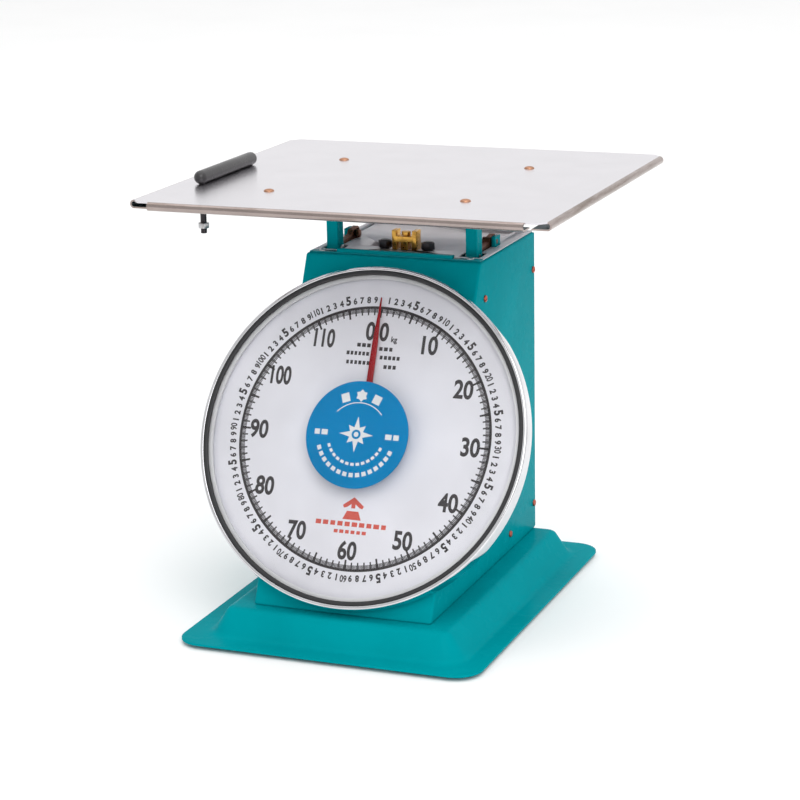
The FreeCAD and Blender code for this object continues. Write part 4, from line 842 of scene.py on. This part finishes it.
def medallion_marks():
    """Blocks, a badge, a star and dashes, drawn flat and in mm."""
    badge = [polar(3.4 if i % 2 else 4.8, math.tau * i / 12) for i in range(12)]
    marks = [at(polygon(badge), 0, 29.5)]
    marks += [quad(x, 27, 6.4, 6.8, tilt) for x, tilt in ((-12.5, 0.35), (12.5, -0.35))]
    marks.append(band(24.0, 0.7, math.radians(-48), math.radians(48), 40))
    points, radii = 16, (13.5, 5.6, 9.5, 5.6)
    star = [polar(radii[i % 4], math.tau * i / points) for i in range(points)]
    ring = [polar(3.6, math.tau * i / points) for i in range(points)]
    marks.append(loft([[(x, y, 0) for x, y in outline] for outline in (star, ring)]))
    marks.append(polygon([polar(1.9, math.tau * i / 20) for i in range(20)]))
    for side in (-1, 1):
        marks.append(quad(side * 25.5, 0, 5.0, 4.0))
        marks.append(quad(side * 31.5, 0, 4.2, 4.0))
    for radius, width, count, reach in ((22.5, 2.2, 13, 70), (30.5, 3.2, 15, 72)):
        for i in range(count):
            middle = math.radians(180 - reach + 2 * reach * (i + 0.5) / count)
            half = math.radians(reach / count * 0.66)
            marks.append(band(radius, width, middle - half, middle + half, 4))
    return merge(marks)


# ---------------------------------------------------------------- platform


def platform_plate():
    """Stainless sheet with cut corners, its four rims rolled half round and back underneath, with painted shade
    inside each roll.
    """
    low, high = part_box("platform_plate")
    sheet, reach, gap, cut = 1.2 * MM, 15 * MM, 18 * MM, 6 * MM
    roll = (high.z - low.z) / 2
    centre = Vector(((low.x + high.x) / 2, (low.y + high.y) / 2, high.z))
    half_x, half_y = (high.x - low.x) / 2, (high.y - low.y) / 2
    hem = arc((-reach + sheet / 2, -2 * roll + sheet / 2), sheet / 2, 270, 90, 4)
    section = arc((-roll, -roll), roll, 90, -90, 16) + hem
    outside = len(section) - 1
    section += arc((-roll, -roll), roll - sheet, -90, 90, 12)
    count = len(section)
    # the faces inside each roll get dark paint as painted shade, standing in for the shadow in the rolled hollow
    rim, top, inside = 0, 1, 2
    parts, face_looks = [], []
    for quarter in range(4):
        edge, half = (half_y, half_x - gap) if quarter % 2 else (half_x, half_y - roll - cut)
        part = capped([[(edge + a, y, z) for a, z in section] for y in (-half, half)])
        face_looks += [rim] * outside + [inside] * (count - outside) + [rim] * 2
        spin = Matrix.Rotation(math.pi / 2 * quarter, 4, "Z")
        parts.append(moved(part, Matrix.Translation(centre) @ spin))
    flat = capped([rounded_ring(half_x - roll, half_y - roll, 0, cut, z, 1) for z in (0, -sheet)])
    face_looks += [top] * len(flat[1])
    parts.append(moved(flat, Matrix.Translation(centre)))
    # dark_paint on the inside faces is painted shade; the rim look on the outer faces carries a painted reflection
    looks = ["stainless_rim", "stainless_plate", "dark_paint"]
    make(
        "rolled_plate", *merge(parts), "carriage", looks, ["platform_plate"], 40,
        face_looks=face_looks,
    )


def rivets():
    """Domed heads on the plate and low tails under its rails."""
    top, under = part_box("platform_plate")[1].z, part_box("platform_rails")[0].z
    flip = Matrix.Rotation(math.pi, 4, "X")
    parts = []
    for lo, hi in solids("plate_rivets"):
        x, y = ((lo + hi) / 2).xy
        radius = (hi.x - lo.x) / 2
        parts.append(at(dome(radius, hi.z - top, 28, 6), x, y, z=top))
        tail = moved(dome(radius, 1.5 * MM, 24, 4), flip)
        parts.append(at(tail, x, y, z=under))
    make("rivet_heads", *merge(parts), "carriage", "copper_rivet", ["plate_rivets"], 50)


def side_grip():
    """Round rubber bar with rounded ends."""
    low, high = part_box("side_grip")
    radius = (high.x - low.x) / 2
    stations = arc((low.y + radius, 0), radius, 180, 90, 8)
    stations += arc((high.y - radius, 0), radius, 90, 0, 8)
    bar = capped([circle(max(r, 0.05 * MM), y, 40) for y, r in stations])
    middle = Vector(((low.x + high.x) / 2, 0, (low.z + high.z) / 2))
    lie = Matrix.Translation(middle) @ Matrix.Rotation(-math.pi / 2, 4, "X")
    make("rubber_grip", *moved(bar, lie), "carriage", "grip_rubber", ["side_grip"], 60)


def threaded(radius, low, high, pitch, depth):
    """Upright rod with a screw thread all along it."""
    steps, rows = 20, int((high - low) / pitch * 4)
    end = radius - depth * 1.3
    rings = [circle(end, low, steps)]
    for i in range(1, rows):
        z = low + (high - low) * i / rows
        ring = []
        for k in range(steps):
            phase = (z / pitch - k / steps) % 1.0
            r, a = radius - depth * abs(2 * phase - 1), math.tau * k / steps
            ring.append((r * math.cos(a), r * math.sin(a), z))
        rings.append(ring)
    return capped(rings + [circle(end, high, steps)])


def threaded_rods():
    """The long bolts that show their threads."""
    for node, name, body, pitch in (
        ("grip_bolts", "grip_studs", "carriage", 0.8 * MM),
        ("hanger_bolts", "hanger_studs", "frame", 1.25 * MM),
    ):
        parts = []
        for lo, hi in solids(node):
            rod = threaded((hi.x - lo.x) / 2, lo.z, hi.z, pitch, pitch * 0.35)
            parts.append(at(rod, *((lo + hi) / 2).xy))
        make(name, *merge(parts), body, "dark_steel", [node], 60)


# ---------------------------------------------------------------- springs


def springs():
    """Close-wound extension springs between the frame and the carriage, built as fixed coils."""
    for side in ("left", "right"):
        low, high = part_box(f"spring_{side}")
        x, y = ((low + high) / 2).xy
        wire, turns, sides = 2.75 * MM, 12, 10
        radius = (high.x - low.x) / 2 - wire
        bottom, top = low.z + wire, high.z - wire
        climb = (top - bottom) / (math.tau * turns)
        steps = turns * 28
        rings = []
        for i in range(steps + 1):
            a = math.tau * turns * i / steps
            out = Vector((math.cos(a), math.sin(a), 0))
            round_z = Vector((-math.sin(a), math.cos(a), 0))
            up = (round_z * radius + Vector((0, 0, climb))).normalized().cross(out)
            centre = out * radius + Vector((x, y, bottom + (top - bottom) * i / steps))
            rings.append([centre + out * p + up * q for p, q, _ in circle(wire, 0, sides)])
        coil = make(f"coil_{side}", *capped(rings), None, "dark_steel", [f"spring_{side}"], 60)
        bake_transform(coil)


# ---------------------------------------------------------------- the whole scale


def finish_cad_nodes():
    """Materials and broken edges for every CAD node that no finer mesh replaces."""
    slots = {row["node"]: row["material_slot"] for row in frame["record"]["subparts"]}
    slots["top_cover"] = "cover_paint"
    hidden = {name for name, obj in NODES.items() if obj.hide_render}
    fine = {"pointer_arbor", "rack", "arbor_bushes", "pointer_needle"}
    for name, slot in slots.items():
        if name not in hidden:
            finish_node(name, slot, 0.08 * MM if name in fine else 0.3 * MM)


def stage():
    """Plain pale floor and soft studio light."""
    width = 28
    floor = linked("floor", mesh_of("floor", *quad(0, 0, width, width)))
    n = Nodes("floor")
    n.set(Base_Color=n.tint(n.noise(3, 3), (0.93, 0.93, 0.93), (0.95, 0.95, 0.95)))
    n.set(Roughness=n.ramp(n.noise(20, 3), 0.55, 0.7))
    n.surface.inputs["Specular IOR Level"].default_value = 0.2
    floor.data.materials.append(n.material)

    world = bpy.data.worlds.new("studio")
    world.use_nodes = True
    tree = world.node_tree
    background = tree.nodes["Background"]
    background.inputs["Color"].default_value = (1, 1, 1, 1)
    direction = tree.nodes.new("ShaderNodeSeparateXYZ")
    tree.links.new(tree.nodes.new("ShaderNodeTexCoord").outputs["Generated"], direction.inputs[0])
    strength = tree.nodes.new("ShaderNodeMapRange")
    strength.interpolation_type = "SMOOTHSTEP"
    limits = {"From Min": -0.55, "From Max": 0.35, "To Min": 0.74, "To Max": 1.02}
    for socket, value in limits.items():
        strength.inputs[socket].default_value = value
    tree.links.new(direction.outputs["Y"], strength.inputs["Value"])
    tree.links.new(strength.outputs["Result"], background.inputs["Strength"])
    bpy.context.scene.world = world
    bpy.context.scene.view_settings.view_transform = "Standard"

    aim = Vector((0, 0, 0.18))
    for name, place, size, power in (
        ("key", (1.3, -2.2, 2.2), (2.4, 2.4), 46),
        ("ceiling", (0.0, 0.6, 4.5), (6.0, 5.0), 75),
    ):
        light = bpy.data.lights.new(name, "AREA")
        light.shape = "RECTANGLE"
        light.size, light.size_y = size
        light.energy = power
        lamp = linked(name, light)
        lamp.location = place
        lamp.rotation_euler = (aim - Vector(place)).to_track_quat("-Z", "Y").to_euler()


def camera():
    """Camera at the photograph's viewing angle: right of the dial's front and a little above."""
    data = bpy.data.cameras.new("camera")
    data.lens, data.sensor_width = 109.83, 36
    data.dof.use_dof = False
    yaw, pitch, roll = math.radians(21.55), math.radians(-15.0), math.radians(-1.06)
    level = Vector((-math.sin(yaw), math.cos(yaw), 0))
    forward = level * math.cos(pitch) + Vector((0, 0, math.sin(pitch)))
    right = Vector((math.cos(yaw), math.sin(yaw), 0))
    up = right.cross(forward)
    turned_right = right * math.cos(roll) + up * math.sin(roll)
    turned_up = up * math.cos(roll) - right * math.sin(roll)
    axes = Matrix((turned_right, turned_up, -forward)).transposed()
    place = Vector((0.66979, -1.69984, 0.64533))
    cam = linked("camera", data)
    cam.matrix_world = Matrix.Translation(place) @ axes.to_4x4()
    bpy.context.scene.camera = cam


base_tray()
housing()
screw_heads()
dial_case()
glass()
dial_marks()
medallion()
platform_plate()
rivets()
side_grip()
threaded_rods()
springs()
finish_cad_nodes()
stage()
camera()
